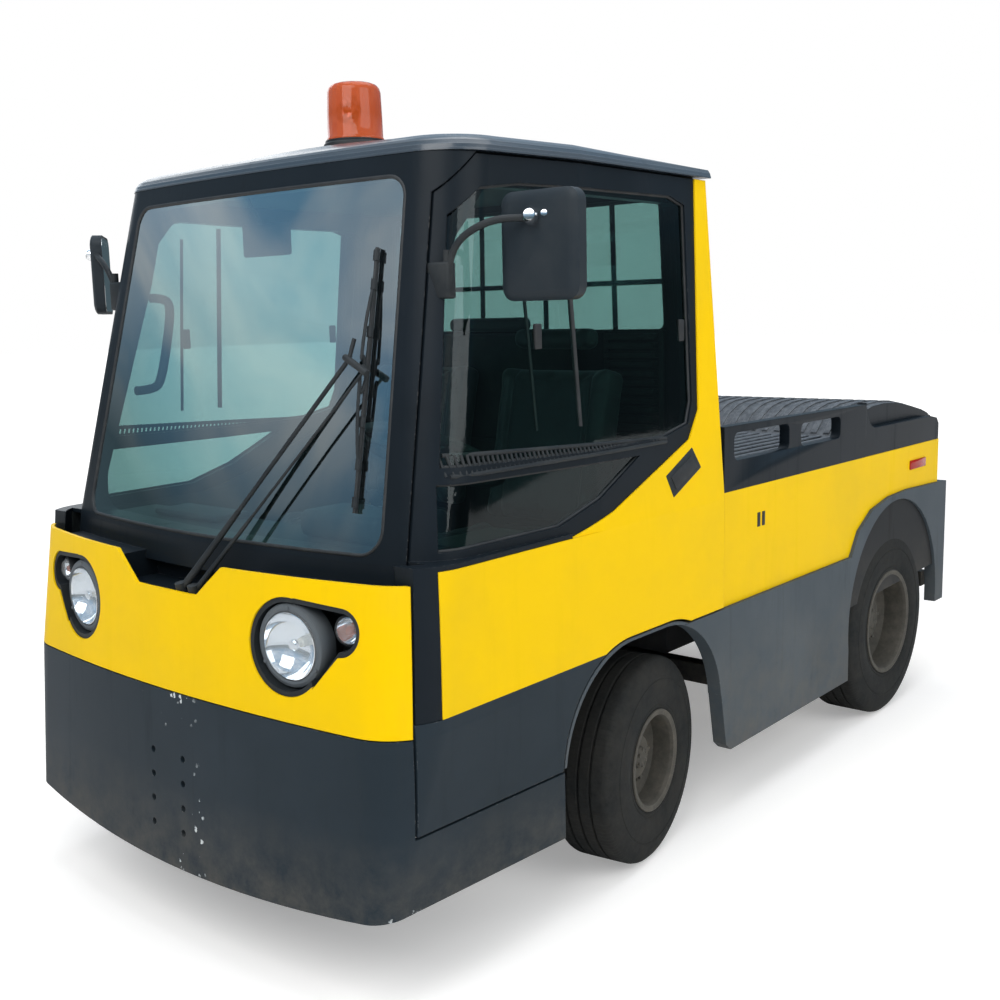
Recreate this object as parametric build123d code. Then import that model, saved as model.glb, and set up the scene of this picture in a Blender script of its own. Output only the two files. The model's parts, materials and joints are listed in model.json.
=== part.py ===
from build123d import *
import math
import os

# Airport baggage tug: a four-wheeled electric tow tractor with a two-seat cab.
# Millimetres.  While it is built, X is forward from the front axle, Y is to the
# vehicle's left and Z is up from the ground; export moves X to mid length.

# ---- driving dimensions ----------------------------------------------------
WHEELBASE = 1617.0
BODY_HALF = 757.0            # half width over doors and skirts
REAR_HALF = 745.0            # half width of the rear body sides
NOSE_X = 1062.0              # front plate at its bottom edge, on the centre line
TAIL_X = -2160.0             # rear face of the rear fenders
HITCH_REACH = 90.0           # tow coupling behind the tail

BUMPER_BOTTOM = 190.0
BUMPER_RISE = 40.0           # bottom edge is this much higher at the corners
SEAM_Z = 632.0               # seam between front plate and cowl
COWL_TOP = 960.0
BELT_Z = 985.0               # top of the straight door skin
ROOF_SEAT = 1888.0           # underside of the roof panel
ROOF_EDGE = 46.0             # height of the roof's side edge
ROOF_CROWN = 38.0            # rise from the edge to the middle
CAB_REAR = -360.0            # outer face of the cab's rear wall
TUMBLE_HALF = 687.0          # half width at the roof

LEDGE_T = 12.0               # step where the door's lower part stands proud
SHEET = 10.0                 # steel panels
PLATE = 14.0                 # front plate and sills
DOOR_T = 38.0                # door thickness
FRAME_T = 40.0               # cab frame behind the doors
GAP = 6.0                    # panel gap round moving pieces
SEAT_GAP = 0.3               # gap between pieces that sit on each other
GLASS_T = 6.0

FRONT_TYRE_D = 578.0
FRONT_TYRE_W = 190.0
FRONT_RIM_D = 262.0
FRONT_TRACK = 1270.0         # between tyre centres
REAR_TYRE_D = 697.0
REAR_TYRE_W = 200.0
REAR_RIM_D = 366.0
REAR_TRACK = 1302.0
STEER_REST = 8.0             # degrees to the left
KINGPIN_HALF = 500.0
KINGPIN_R = 18.0

ARCH_FRONT = 420.0           # front arch: reach ahead of the axle
ARCH_REAR = -340.0
ARCH_TOP = 672.0
ARCH_CORNER = 300.0
ARCH_LIP = 8.0
DOOR_BOTTOM = 412.0
DOOR_FRONT = 893.0            # front edge at the belt
DOOR_FRONT_LOW = 922.0        # front edge at the seam and below
DOOR_REAR = CAB_REAR + 8.0
SILL_BOTTOM = 235.0
SKIRT_TOP = 658.0
SKIRT_BOTTOM = 215.0
DECK_Z = 998.0               # top of the yellow rear body
RAIL_TOP = 1190.0

BEACON_X = 330.0
BEACON_Y = 0.0
BEACON_R = 82.0
BEACON_H = 175.0

# plan outlines of the body: height, nose, bow radius, half width, taper at the
# front corner, corner radius
BODY_LEVELS = (
    (BUMPER_BOTTOM - 10.0, NOSE_X + 1.0, 4900.0, BODY_HALF, 50.0, 60.0),
    (SEAM_Z, NOSE_X - 26.0, 4900.0, BODY_HALF, 0.0, 150.0),
    (BELT_Z + 15.0, NOSE_X - 42.0, 2600.0, BODY_HALF, 0.0, 160.0),
)
# the same for the cab
CAB_LEVELS = (
    (880.0, 938.0, 3000.0, BODY_HALF, 20.0, 130.0),
    (BELT_Z, 921.0, 3050.0, BODY_HALF, 20.0, 130.0),
    (1900.0, 682.0, 6000.0, TUMBLE_HALF, 40.0, 130.0),
)
BODY_TAPER_X = 440.0
CAB_TAPER_X = 250.0

ORIGIN_X = (NOSE_X + TAIL_X - HITCH_REACH) / 2.0


# ---- helpers ---------------------------------------------------------------
def plan(level, rear_x, taper_x, inset):
    """Closed plan outline of a body level, drawn in by inset."""
    z, nose_x, bow, half, taper, corner = level
    nose = nose_x - inset
    big = bow - inset
    r = corner - inset
    h0 = half - inset
    h1 = h0 - taper
    yc = h1 - r
    xc = nose - big + math.sqrt((big - r) ** 2 - yc ** 2)
    turn = math.asin(yc / (big - r))
    mid = (turn + math.pi / 2) / 2
    end = (xc + r * math.cos(turn), yc + r * math.sin(turn))
    bend = (xc + r * math.cos(mid), yc + r * math.sin(mid))
    edges = [
        Line((rear_x, h0), (taper_x, h0)),
        Line((taper_x, h0), (xc, h1)),
        ThreePointArc((xc, h1), bend, end),
        ThreePointArc(end, (nose, 0), (end[0], -end[1])),
        ThreePointArc((end[0], -end[1]), (bend[0], -bend[1]), (xc, -h1)),
        Line((xc, -h1), (taper_x, -h0)),
        Line((taper_x, -h0), (rear_x, -h0)),
        Line((rear_x, -h0), (rear_x, h0)),
    ]
    return Plane.XY.offset(z) * make_face(edges)


def hull(levels, rear_x, taper_x, inset):
    """Solid body through all levels, drawn in by inset."""
    return loft([plan(level, rear_x, taper_x, inset) for level in levels], ruled=True)


def skin(levels, rear_x, taper_x, near, far):
    """Wall of a body between two insets, open at the rear, top and bottom."""
    inner = hull(stretched(levels), rear_x - 50.0, taper_x, far)
    return hull(levels, rear_x, taper_x, near) - inner


def stretched(levels):
    """The levels with the end ones repeated past the ends, along the same walls."""
    out = list(levels)
    out[0] = extended(levels[0], levels[1], -5.0)
    out[-1] = extended(levels[-1], levels[-2], 5.0)
    return out


def extended(end, near, dz):
    """A level dz beyond the end one on the straight line from its neighbour."""
    share = dz / (end[0] - near[0])
    return tuple(e + (e - n) * share for e, n in zip(end, near))


def box(x0, x1, y0, y1, z0, z1):
    """Box between two corners."""
    centre = ((x0 + x1) / 2, (y0 + y1) / 2, (z0 + z1) / 2)
    return Pos(*centre) * Box(abs(x1 - x0), abs(y1 - y0), abs(z1 - z0))


def side_face(points, radius=0.0, inset=0.0):
    """Outline in X and Z as a face, its corners rounded, drawn in by inset."""
    face = make_face(Polyline(*points, close=True)).face()
    if radius:
        face = rounded(face, radius)
    if inset:
        face = offset(face, amount=-inset, kind=Kind.INTERSECTION).face()
    return Plane.XZ * face


def side_prism(points, y0, y1, radius=0.0, inset=0.0):
    """Outline in X and Z, extruded across the vehicle from y0 to y1."""
    face = side_face(points, radius, inset)
    return Pos(0, y0, 0) * extrude(face, amount=y1 - y0, dir=(0, 1, 0))


def front_prism(points, x0, x1, radius=0.0):
    """Outline in Y and Z, extruded along the vehicle from x0 to x1."""
    face = Plane.YZ * make_face(Polyline(*points, close=True))
    face = face.face() if hasattr(face, "face") else face
    if radius:
        face = rounded(face, radius)
    return Pos(x0, 0, 0) * extrude(face, amount=x1 - x0, dir=(1, 0, 0))


def rounded(face, radius):
    """The face with all its corners rounded."""
    return fillet(face.vertices(), radius)


def rod(start, end, radius):
    """Round bar between two points."""
    path = Vector(*end) - Vector(*start)
    plane = Plane(origin=start, z_dir=path)
    return extrude(plane * Circle(radius), amount=path.length)


def right_hand(shape):
    """Mirror image on the other side."""
    return mirror(shape, about=Plane.XZ)


def pair(shape):
    """The shape and its mirror image as separate solids."""
    return Compound(children=[*shape.solids(), *right_hand(shape).solids()])


def solids_of(*shapes):
    """Separate solids in one compound."""
    return Compound(children=[s for shape in shapes for s in shape.solids()])


def cylinder_y(x, z, y0, y1, radius):
    """Cylinder across the vehicle."""
    return rod((x, min(y0, y1), z), (x, max(y0, y1), z), radius)


# ---- outlines shared by the doors and their openings -------------------------
def cab_edge(z):
    """X of the door's front edge above the belt, a straight line leaning back."""
    low_x, low_z = 843.0, BELT_Z
    top_x, top_z = 652.0, 1830.0
    return low_x + (top_x - low_x) * (z - low_z) / (top_z - low_z)


def body_edge(z):
    """X of the door's front edge below the belt."""
    share = max(z - SEAM_Z, 0.0) / (BELT_Z - SEAM_Z)
    return DOOR_FRONT_LOW + (DOOR_FRONT - DOOR_FRONT_LOW) * share


DOOR_TOP = ROOF_SEAT - GAP
SKIN_FOOT = SKIRT_TOP + GAP
CORNER_CUT = 90.0            # door's front top corner, cut back


def upper_outline(margin):
    """Side outline of the door above the belt, grown by a margin."""
    return [
        (DOOR_REAR - margin, BELT_Z),
        (cab_edge(BELT_Z) + margin, BELT_Z),
        (cab_edge(CORNER_Z) + margin, CORNER_Z),
        (cab_edge(CORNER_Z) - CORNER_CUT, DOOR_TOP + margin),
        (DOOR_REAR - margin, DOOR_TOP + margin),
    ]


HINGE_X = 900.0              # door's hinge axis
HINGE_Y = 731.0
DOOR_SIDE = 620.0            # inner limit of the door at its front, at the belt
DOOR_SIDE_TOP = 565.0        # and at the corner cut
CORNER_Z = 1795.0


def door_side(z):
    """Inner limit of the door's front edge at a height."""
    return DOOR_SIDE + (DOOR_SIDE_TOP - DOOR_SIDE) * (z - BELT_Z) / (CORNER_Z - BELT_Z)


def side_zone(margin):
    """All that lies outboard of the door's inner limit."""
    low = 0.0
    high = DOOR_TOP + 100.0
    return front_prism(((door_side(low) - margin, low), (950, low), (950, high), (door_side(high) - margin, high)),
                       -700, 1100)


def corner_reach(level):
    """Distance from the hinge axis to the door's inner front corner at a level of the cab."""
    z, nose, bow, half, taper, corner = level
    yc = half - taper - corner
    xc = nose - bow + math.sqrt((bow - corner) ** 2 - yc ** 2)
    y = door_side(z)
    x = xc + math.sqrt((corner - DOOR_T) ** 2 - (y - yc) ** 2)
    return math.hypot(HINGE_X - x, HINGE_Y - y)


def swing_zone(margin):
    """What the door's front edge sweeps as it opens."""
    low, high = CAB_LEVELS[1], CAB_LEVELS[2]
    cone = Cone(corner_reach(low) + margin, corner_reach(high) + margin, high[0] - low[0],
                align=(Align.CENTER, Align.CENTER, Align.MIN))
    behind = side_prism([(-700, BELT_Z), *upper_outline(margin)[1:4], (-700, DOOR_TOP + margin)], 300, 950)
    return Pos(HINGE_X, HINGE_Y, BELT_Z) * cone & behind & side_zone(margin)


def arch(margin, y0, y1):
    """Front wheel arch, a rounded box open below, grown by a margin."""
    face = Plane.XZ * Pos((ARCH_FRONT + ARCH_REAR) / 2, ARCH_TOP / 2) * RectangleRounded(
        ARCH_FRONT - ARCH_REAR + 2 * margin, ARCH_TOP + 2 * margin, ARCH_CORNER)
    top = Pos(0, y0, 0) * extrude(face, amount=y1 - y0, dir=(0, 1, 0))
    return top + box(ARCH_REAR - margin, ARCH_FRONT + margin, y0, y1, -margin, ARCH_TOP / 2)


WINDSHIELD = ((-585, 1000), (585, 1000), (520, 1838), (-520, 1838))
# door panes and the edge between yellow skin and black frame; heights are above
# the belt, or below the door's top where a table says so
UPPER_PANE_LOW = ((-212.0, 290.0), (-185.0, 230.0), (-60.0, 205.0), (240.0, 199.0), (765.0, 209.0))
UPPER_PANE_HEAD = ((652.0, 138.0), (572.0, 75.0), (445.0, 59.0), (-167.0, 53.0), (-238.0, 74.0))
LOWER_PANE = ((63.0, 168.0), (255.0, 77.0), (416.0, 33.0), (800.0, 29.0), (777.0, 173.0))
SKIN_TOP = ((307.0, 15.0), (202.0, 41.0), (-180.0, 187.0), (-238.0, 265.0))
SKIN_FRONT = 381.0           # where the skin's top edge starts to rise
SKIN_HEAD = -293.0           # front edge of its rear strip at the door's top
STRIP_BACK = 847.0           # rear edge of the dark strip at the belt
STRIP_BACK_LOW = 858.0


def above_belt(points):
    return [(x, BELT_Z + dz) for x, dz in points]


def below_head(points):
    return [(x, DOOR_TOP - dz) for x, dz in points]


def skin_edge(shift):
    """Edge between the yellow skin and the black frame, from front to rear."""
    line = [(SKIN_FRONT, BELT_Z), *above_belt(SKIN_TOP), (SKIN_HEAD, DOOR_TOP + 1)]
    return [(x + shift, z + shift) for x, z in line]


# ---- front -------------------------------------------------------------------
def front_bumper():
    """Front plate bent round to the sills, with two columns of holes."""
    wall = skin(BODY_LEVELS, ARCH_FRONT + ARCH_LIP, BODY_TAPER_X, 0.0, PLATE)
    wall = wall & box(ARCH_FRONT - 60, NOSE_X + 50, -900, 900, 0, SEAM_Z)
    sweep_r = ((BODY_HALF - 60.0) ** 2 + BUMPER_RISE ** 2) / (2 * BUMPER_RISE)
    lower = cylinder_x(0, BUMPER_BOTTOM + sweep_r, sweep_r)
    wall = wall & lower
    wall = wall - sill_cut() - right_hand(sill_cut())
    for y in (-HOLE_SPACING / 2, HOLE_SPACING / 2):
        for i in range(HOLE_ROWS):
            z = HOLE_LOW + i * HOLE_PITCH
            wall = wall - rod((NOSE_X - 120, y, z), (NOSE_X + 60, y, z), HOLE_R)
    return wall


HOLE_SPACING = 122.0
HOLE_ROWS = 4
HOLE_LOW = 286.0
HOLE_PITCH = 62.0
HOLE_R = 8.5


def cylinder_x(y, z, radius):
    """Cylinder along the vehicle."""
    return rod((-200, y, z), (NOSE_X + 200, y, z), radius)


def sill_cut():
    """Room for the door's lower part above the sill."""
    return side_prism(((ARCH_REAR, DOOR_BOTTOM - GAP), (body_edge(DOOR_BOTTOM) + GAP, DOOR_BOTTOM - GAP),
                       (body_edge(SEAM_Z) + GAP, SEAM_Z + 50), (ARCH_REAR, SEAM_Z + 50)), 400, 900)


def cowl_top_cut():
    """Notch in the cowl's top edge for the wiper."""
    points = ((-215, 1100), (-215, 963), (-122, 884), (122, 884), (215, 963), (215, 1100))
    return front_prism(points, 600, NOSE_X + 60)


def lamp_opening(grow=0.0):
    """Lamp opening of the left side: a round with a lobe up and outboard."""
    main = rod((NOSE_X - 220, LAMP_Y, LAMP_Z), (NOSE_X + 40, LAMP_Y, LAMP_Z), 112.0 + grow)
    lobe = rod((NOSE_X - 220, 566, 852), (NOSE_X + 40, 566, 852), 54.0 + grow)
    bridge = front_prism(((418, 803 + 108 + grow), (440, 915 + grow), (566, 906 + grow), (620 + grow, 852),
                          (566, 798 - grow), (500, 720)), NOSE_X - 220, NOSE_X + 40)
    return main + lobe + bridge


LAMP_Y = 418.0
LAMP_Z = 803.0


def front_cowl():
    """Yellow front panel with the wiper notch and two lamp openings."""
    wall = skin(BODY_LEVELS, BODY_TAPER_X - 100.0, BODY_TAPER_X, 0.0, SHEET)
    edge = ((body_edge(SEAM_Z) + GAP, SEAM_Z + 3.0), (body_edge(COWL_TOP) + GAP, COWL_TOP),
            (NOSE_X + 50, COWL_TOP), (NOSE_X + 50, SEAM_Z + 3.0))
    wall = wall & side_prism(edge, -900, 900)
    wall = wall - cowl_top_cut()
    for opening in (lamp_opening(), right_hand(lamp_opening())):
        wall = wall - opening
    return wall


def lamp_housing():
    """Black recess behind one lamp opening, with the buckets that carry the lenses."""
    outer = lamp_opening(-0.5) & box(NOSE_X - 190, NOSE_X - 30, 250, 700, 600, 1000)
    hollow = lamp_opening(-12.0) & box(NOSE_X - 175, NOSE_X + 40, 250, 700, 600, 1000)
    limit = hull(BODY_LEVELS, BODY_TAPER_X - 100.0, BODY_TAPER_X, 4.0)
    shell = (outer & limit) - hollow
    for x, y, z, radius, depth, lean in LAMPS:
        long = 60.0 if radius > 50 else 40.0
        bucket = Pos(-depth - SEAT_GAP - long / 2, 0, 0) * Rot(0, 90, 0) * Cylinder(radius * 0.9, long)
        shell = shell + Pos(x, y, z) * Rot(0, 0, lean) * bucket
    return shell


# x, y, z, radius, depth, lean outboard
LAMPS = ((972.0, 418.0, 803.0, 82.0, 30.0, 6.0), (940.0, 566.0, 852.0, 34.0, 22.0, 16.0))


def lamp_housings():
    return pair(lamp_housing())


def lamp_lens(x, y, z, radius, depth, lean):
    """Lens of a lamp, domed forward."""
    dome = Pos(-radius * 1.9 + depth, 0, 0) * Sphere(radius * 2.15)
    body = Rot(0, 90, 0) * Cylinder(radius, depth * 2.0)
    return Pos(x, y, z) * Rot(0, 0, lean) * (body & dome)


def lamp_lenses():
    """Headlamps, indicators and tail lamps."""
    left = solids_of(
        *[lamp_lens(*lamp) for lamp in LAMPS],
        box(TAIL_X + 54, TAIL_X + 69.7, 560, 700, 900, 960),
    )
    return pair(left)


# ---- cab -------------------------------------------------------------------
def cab_frame():
    """Pillars, header and rails: the cab's wall with its openings cut."""
    depth = DOOR_T + FRAME_T
    wall = skin(CAB_LEVELS, CAB_REAR + SHEET + 1.0, CAB_TAPER_X, 0.0, depth)
    wall = wall & box(CAB_REAR, NOSE_X, -900, 900, CAB_FOOT, ROOF_SEAT - SEAT_GAP)
    wall = wall + scuttle()
    wall = wall - front_prism(WINDSHIELD, 500, NOSE_X, 55.0)
    pocket = door_pocket()
    wall = wall - pocket - right_hand(pocket)
    aperture = side_prism(inner_opening(), 300, 900, 60.0)
    return wall - aperture - right_hand(aperture)


CAB_FOOT = 918.0             # lower edge of the cab's front wall
SCUTTLE_Z = 930.0
SCUTTLE_HALF = 625.0
TRAY_HALF = 235.0            # wiper tray below the notch
TRAY_Z = 862.0


def scuttle():
    """Ledge between cowl and cab, with the wiper's tray in the middle."""
    inside = hull(BODY_LEVELS, BODY_TAPER_X - 100.0, BODY_TAPER_X, SHEET + 2 * SEAT_GAP)
    back = 860.0
    deck = box(back, NOSE_X, -SCUTTLE_HALF, SCUTTLE_HALF, SCUTTLE_Z, SCUTTLE_Z + SHEET)
    deck = deck - hull(CAB_LEVELS, 0.0, CAB_TAPER_X, DOOR_T)
    tray = box(back + 20, NOSE_X, -TRAY_HALF, TRAY_HALF, TRAY_Z, SCUTTLE_Z + SHEET)
    hollow = box(back + 20 + SHEET, NOSE_X, -TRAY_HALF + SHEET, TRAY_HALF - SHEET, TRAY_Z + SHEET, SCUTTLE_Z + 50)
    return ((deck + tray) - hollow) & inside


def inner_opening():
    """Clear opening of the doorway above the belt, inside the frame."""
    return [(CAB_REAR + 90, 800), (800, 800), (800, 1100), (620, 1700), (520, 1815), (CAB_REAR + 90, 1815)]


def door_pocket():
    """Space that the left door fills in the cab wall, down to its seat, and sweeps."""
    deep = hull(stretched(CAB_LEVELS), CAB_REAR - 60, CAB_TAPER_X, DOOR_T + SEAT_GAP)
    outline = upper_outline(GAP)
    low = [(DOOR_REAR - 2 * GAP, 800), (cab_edge(BELT_Z) + GAP + 24, 800)]
    high = (DOOR_REAR - 2 * GAP, outline[-1][1])
    seat = side_prism(low + outline[1:-1] + [high], 100, 900) - deep
    return (seat & side_zone(GAP)) + swing_zone(GAP)


def windscreen():
    """Curved front glass in its opening."""
    pane = skin(CAB_LEVELS, 0.0, CAB_TAPER_X, 3.0, 3.0 + GLASS_T)
    outline = [(y * 0.9995, z) for y, z in WINDSHIELD]
    return pane & front_prism(outline, 500, NOSE_X, 54.7)


def cab_glass():
    """Windscreen and rear window."""
    return solids_of(windscreen(), rear_glass())


REAR_WINDOW = ((-560, 1120), (560, 1120), (520, 1800), (-520, 1800))


def rear_wall():
    """Rear wall of the cab with its window and the guard bars behind it."""
    points = ((-BODY_HALF + DOOR_T + GAP, 640), (BODY_HALF - DOOR_T - GAP, 640),
              (BODY_HALF - DOOR_T - GAP, BELT_Z), (TUMBLE_HALF - DOOR_T - GAP, ROOF_SEAT - SEAT_GAP),
              (-TUMBLE_HALF + DOOR_T + GAP, ROOF_SEAT - SEAT_GAP), (-BODY_HALF + DOOR_T + GAP, BELT_Z))
    wall = front_prism(points, CAB_REAR, CAB_REAR + SHEET)
    wall = wall - front_prism(REAR_WINDOW, CAB_REAR - 10, CAB_REAR + SHEET + 10, 60.0)
    for i in range(GUARD_BARS):
        y = (i - (GUARD_BARS - 1) / 2) * GUARD_PITCH
        wall = wall + rod((CAB_REAR - 8, y, 1090), (CAB_REAR - 8, y, 1830), 8.0)
    for z in (1250.0, 1620.0):
        wall = wall + rod((CAB_REAR - 8, -600, z), (CAB_REAR - 8, 600, z), 8.0)
    return wall


GUARD_BARS = 7
GUARD_PITCH = 160.0


def rear_glass():
    """Flat rear window pane."""
    outline = [(y * 0.9995, z) for y, z in REAR_WINDOW]
    return front_prism(outline, CAB_REAR + 3, CAB_REAR + 3 + GLASS_T, 59.7)


def roof():
    """Roof panel with a shallow dome."""
    level = CAB_LEVELS[-1]
    z, nose, bow, half, taper, corner = level
    grow = 12.0
    wide = (ROOF_SEAT, nose + 4.0, bow, half + grow, taper, corner + grow)
    face = plan(wide, CAB_REAR - 6.0, CAB_TAPER_X, 0.0)
    slab = extrude(face, amount=ROOF_EDGE + ROOF_CROWN + 5.0)
    slab = slab if slab.bounding_box().min.Z > ROOF_SEAT - 1 else Pos(0, 0, ROOF_EDGE) * slab
    ball_r = (half ** 2 + ROOF_CROWN ** 2) / (2 * ROOF_CROWN)
    ball = Pos(150, 0, ROOF_SEAT + ROOF_EDGE + ROOF_CROWN - ball_r) * Sphere(ball_r)
    return slab & ball


FLOOR_Z = 465.3              # underside of the floor, just above the chassis rails
WELL_Y = 345.0               # inner side of the front wheel wells
WELL_TOP = 660.0
SEAT_BOX_FRONT = 240.0
SEAT_BOX_TOP = 704.0


def cab_floor():
    """Floor with its wheel wells and the seat box behind."""
    t = SHEET
    x0 = CAB_REAR + 12
    x1 = 860.0
    well_x = ARCH_FRONT + 20
    floor = box(x0, x1, -640, 640, FLOOR_Z, FLOOR_Z + t) - box(x0 - 9, well_x, -900, 900, 0, 900)
    floor = floor + box(x0, well_x, -WELL_Y, WELL_Y, FLOOR_Z, FLOOR_Z + t)
    half = box(x0, well_x, WELL_Y - t, WELL_Y, FLOOR_Z, WELL_TOP)
    half = half + box(well_x, well_x + t, WELL_Y - t, 640, FLOOR_Z, WELL_TOP)
    half = half + box(SEAT_BOX_FRONT - t, well_x + t, WELL_Y - t, 690, WELL_TOP, WELL_TOP + t)
    half = half + box(x0, SEAT_BOX_FRONT, 0, 690, SEAT_BOX_TOP - t, SEAT_BOX_TOP)
    half = half + box(SEAT_BOX_FRONT - t, SEAT_BOX_FRONT, 0, WELL_Y, FLOOR_Z, SEAT_BOX_TOP)
    half = half + box(SEAT_BOX_FRONT - t, SEAT_BOX_FRONT, 0, 690, WELL_TOP, SEAT_BOX_TOP)
    half = half + box(x0, x0 + t, WELL_Y - t, 690, WELL_TOP - 40, SEAT_BOX_TOP)
    return floor + half + right_hand(half)


DASH_FRONT = 765.0           # front wall below the dash
DASH_HALF = 590.0
DASH_TOP = 990.0


def dashboard():
    """Dash panel across the cab, with the steering column and the pedals."""
    x = DASH_FRONT
    points = ((600, 920), (640, DASH_TOP), (900, DASH_TOP), (900, DASH_TOP - 50), (x + 15, DASH_TOP - 50),
              (x + 15, 700), (x, 700), (x, 880), (640, 880))
    panel = side_prism(points, -DASH_HALF, DASH_HALF)
    panel = panel & hull(stretched(CAB_LEVELS), 0.0, CAB_TAPER_X, DOOR_T + FRAME_T + SEAT_GAP) + (
        panel & box(0, x + 15, -DASH_HALF, DASH_HALF, 600, 930))
    return solids_of(panel, steering_column(), pedals())


STEER_X = 420.0
STEER_Y = 330.0
STEER_Z = 1165.0
STEER_LEAN = 28.0
STEER_R = 190.0


def steer_frame():
    """Plane of the steering wheel, its normal towards the driver."""
    lean = math.radians(STEER_LEAN)
    return Plane(origin=(STEER_X, STEER_Y, STEER_Z), x_dir=(0, 1, 0), z_dir=(-math.sin(lean), 0, math.cos(lean)))


def steering_wheel():
    """Rim, three spokes and hub."""
    plane = steer_frame()
    rim = Torus(STEER_R, 13.0)
    hub = Cylinder(38.0, 34.0)
    wheel = rim + hub
    for i in range(3):
        spoke = Rot(0, 0, 90 + 120 * i) * Pos(STEER_R / 2, 0, 0) * Box(STEER_R, 26.0, 9.0)
        wheel = wheel + spoke
    return plane.location * wheel


def steering_column():
    """Column from the floor to the wheel."""
    plane = steer_frame()
    length = 900.0
    column = plane.location * Pos(0, 0, -17.3 - length / 2) * Cylinder(30.0, length)
    return column & box(0, 1000, 0, 600, FLOOR_Z + SHEET + SEAT_GAP, 1400)


PEDALS_Y = (240.0, 410.0)


def pedals():
    """Two pedals on their stems below the dash."""
    parts = []
    for y in PEDALS_Y:
        pad = box(640, 652, y - 30, y + 30, 520, 620)
        stem = rod((646, y, 570), (769.7, y, 715), 9)
        parts.append((pad + stem) & box(600, DASH_FRONT - SEAT_GAP, 0, 600, 400, 900))
    return solids_of(*parts)


SEAT_Z = 780.0
SEATS = ((STEER_Y, -40.0), (-310.0, -150.0))     # centre Y, X of the back's foot


def seat_cushions():
    """Two seat cushions."""
    parts = []
    for y, x in SEATS:
        block = box(x, x + 430, y - 225, y + 225, SEAT_Z, SEAT_Z + 120)
        parts.append(fillet(block.edges(), 35.0))
    return solids_of(*parts)


def seat_backs():
    """Two backrests leaning back."""
    parts = []
    for y, x in SEATS:
        block = box(-100, 0, -215, 215, 0, 480)
        block = fillet(block.edges(), 35.0)
        parts.append(Pos(x + BACK_X, y, BACK_Z) * Rot(0, -BACK_LEAN, 0) * block)
    return solids_of(*parts)


BACK_X = 30.0                # foot of the backrest from the cushion's rear
BACK_Z = 915.0
BACK_LEAN = 12.0


def seat_bases():
    """Seat pans with the upright that carries the backrest."""
    parts = []
    foot = SEAT_BOX_TOP + SEAT_GAP
    top = BACK_Z - (BACK_X + 30) * math.tan(math.radians(BACK_LEAN)) - SEAT_GAP
    for y, x in SEATS:
        pan = box(x - 30, x + 410, y - 200, y + 200, foot, foot + 12)
        block = box(x + 20, x + 410, y - 200, y + 200, foot, SEAT_Z - SEAT_GAP)
        upright = box(x - 30, x - 8, y - 150, y + 150, foot, top)
        parts.append(pan + block + upright)
    return solids_of(*parts)


# ---- doors --------------------------------------------------------------------
def cab_wall(near, far):
    """Left wall of the cab above the belt."""
    wall = skin(CAB_LEVELS, CAB_REAR - 40, CAB_TAPER_X, near, far)
    return wall & box(-600, 1000, 0, 900, BELT_Z, ROOF_SEAT)


def body_wall(near, far):
    """Left wall of the body below the belt."""
    wall = skin(BODY_LEVELS, CAB_REAR - 40, BODY_TAPER_X, near, far)
    return wall & box(-600, 1000, 0, 900, 300, BELT_Z)


def door_skin():
    """Yellow part of the left door, with the strip up to the roof at its rear."""
    below = [(DOOR_REAR, SKIN_FOOT), (STRIP_BACK_LOW, SKIN_FOOT), (STRIP_BACK, BELT_Z), (DOOR_REAR, BELT_Z)]
    above = [(DOOR_REAR, BELT_Z), *skin_edge(0.0), (DOOR_REAR, DOOR_TOP + 1)]
    lower = body_wall(0.0, DOOR_T) & side_prism(below, 300, 900)
    upper = cab_wall(0.0, DOOR_T) & side_prism(above, 300, 900)
    upper = upper & box(-600, 1000, 0, 900, BELT_Z, DOOR_TOP)
    return lower + upper - arch(ARCH_LIP + GAP, 300, 900)


def door_frame():
    """Black upper frame of the left door, its front strip and the ledge between them."""
    rear = hull(stretched(CAB_LEVELS), CAB_REAR - 60, CAB_TAPER_X, DOOR_T)
    above = [*skin_edge(SEAT_GAP)[::-1], (upper_outline(0.0)[1][0], BELT_Z + SEAT_GAP), *upper_outline(0.0)[2:4]]
    upper = hull(CAB_LEVELS, CAB_REAR - 40, CAB_TAPER_X, FRAME_INSET) & side_prism(above, 300, 900)
    upper = upper & box(-600, 1000, 0, 900, BELT_Z + SEAT_GAP, DOOR_TOP)
    front = [(SKIN_FRONT, BELT_Z + SEAT_GAP), (STRIP_BACK + SEAT_GAP, BELT_Z + SEAT_GAP),
             (STRIP_BACK_LOW + SEAT_GAP, SKIN_FOOT), (body_edge(SKIN_FOOT), SKIN_FOOT),
             (body_edge(BELT_Z), BELT_Z), (body_edge(BELT_Z), BELT_Z + LEDGE_T), (SKIN_FRONT, BELT_Z + LEDGE_T)]
    step = hull(BODY_LEVELS, CAB_REAR - 40, BODY_TAPER_X, STRIP_INSET) & side_prism(front, 300, 900)
    core = hull(stretched(BODY_LEVELS), CAB_REAR - 60, BODY_TAPER_X, DOOR_T)
    step = step - (core & box(-600, 1000, 0, 900, 300, BELT_Z + SEAT_GAP))
    step = step - (core & box(cab_edge(BELT_Z), 1000, 0, 900, 300, BELT_Z + 2 * LEDGE_T))
    panes = side_prism(upper_pane(), 300, 900) + side_prism(lower_pane(), 300, 900)
    return ((upper + step) - rear - panes) & side_zone(0.0)


FRAME_INSET = 4.0
STRIP_INSET = 2.0
GLASS_INSET = 14.0


def upper_pane():
    return above_belt(UPPER_PANE_LOW) + below_head(UPPER_PANE_HEAD)


def lower_pane():
    return above_belt(LOWER_PANE)


def door_glass():
    """Two panes of the left door."""
    pane = cab_wall(GLASS_INSET, GLASS_INSET + GLASS_T)
    panes = [pane & side_prism(outline, 300, 900, inset=SEAT_GAP) for outline in (upper_pane(), lower_pane())]
    return solids_of(*panes)


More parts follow.
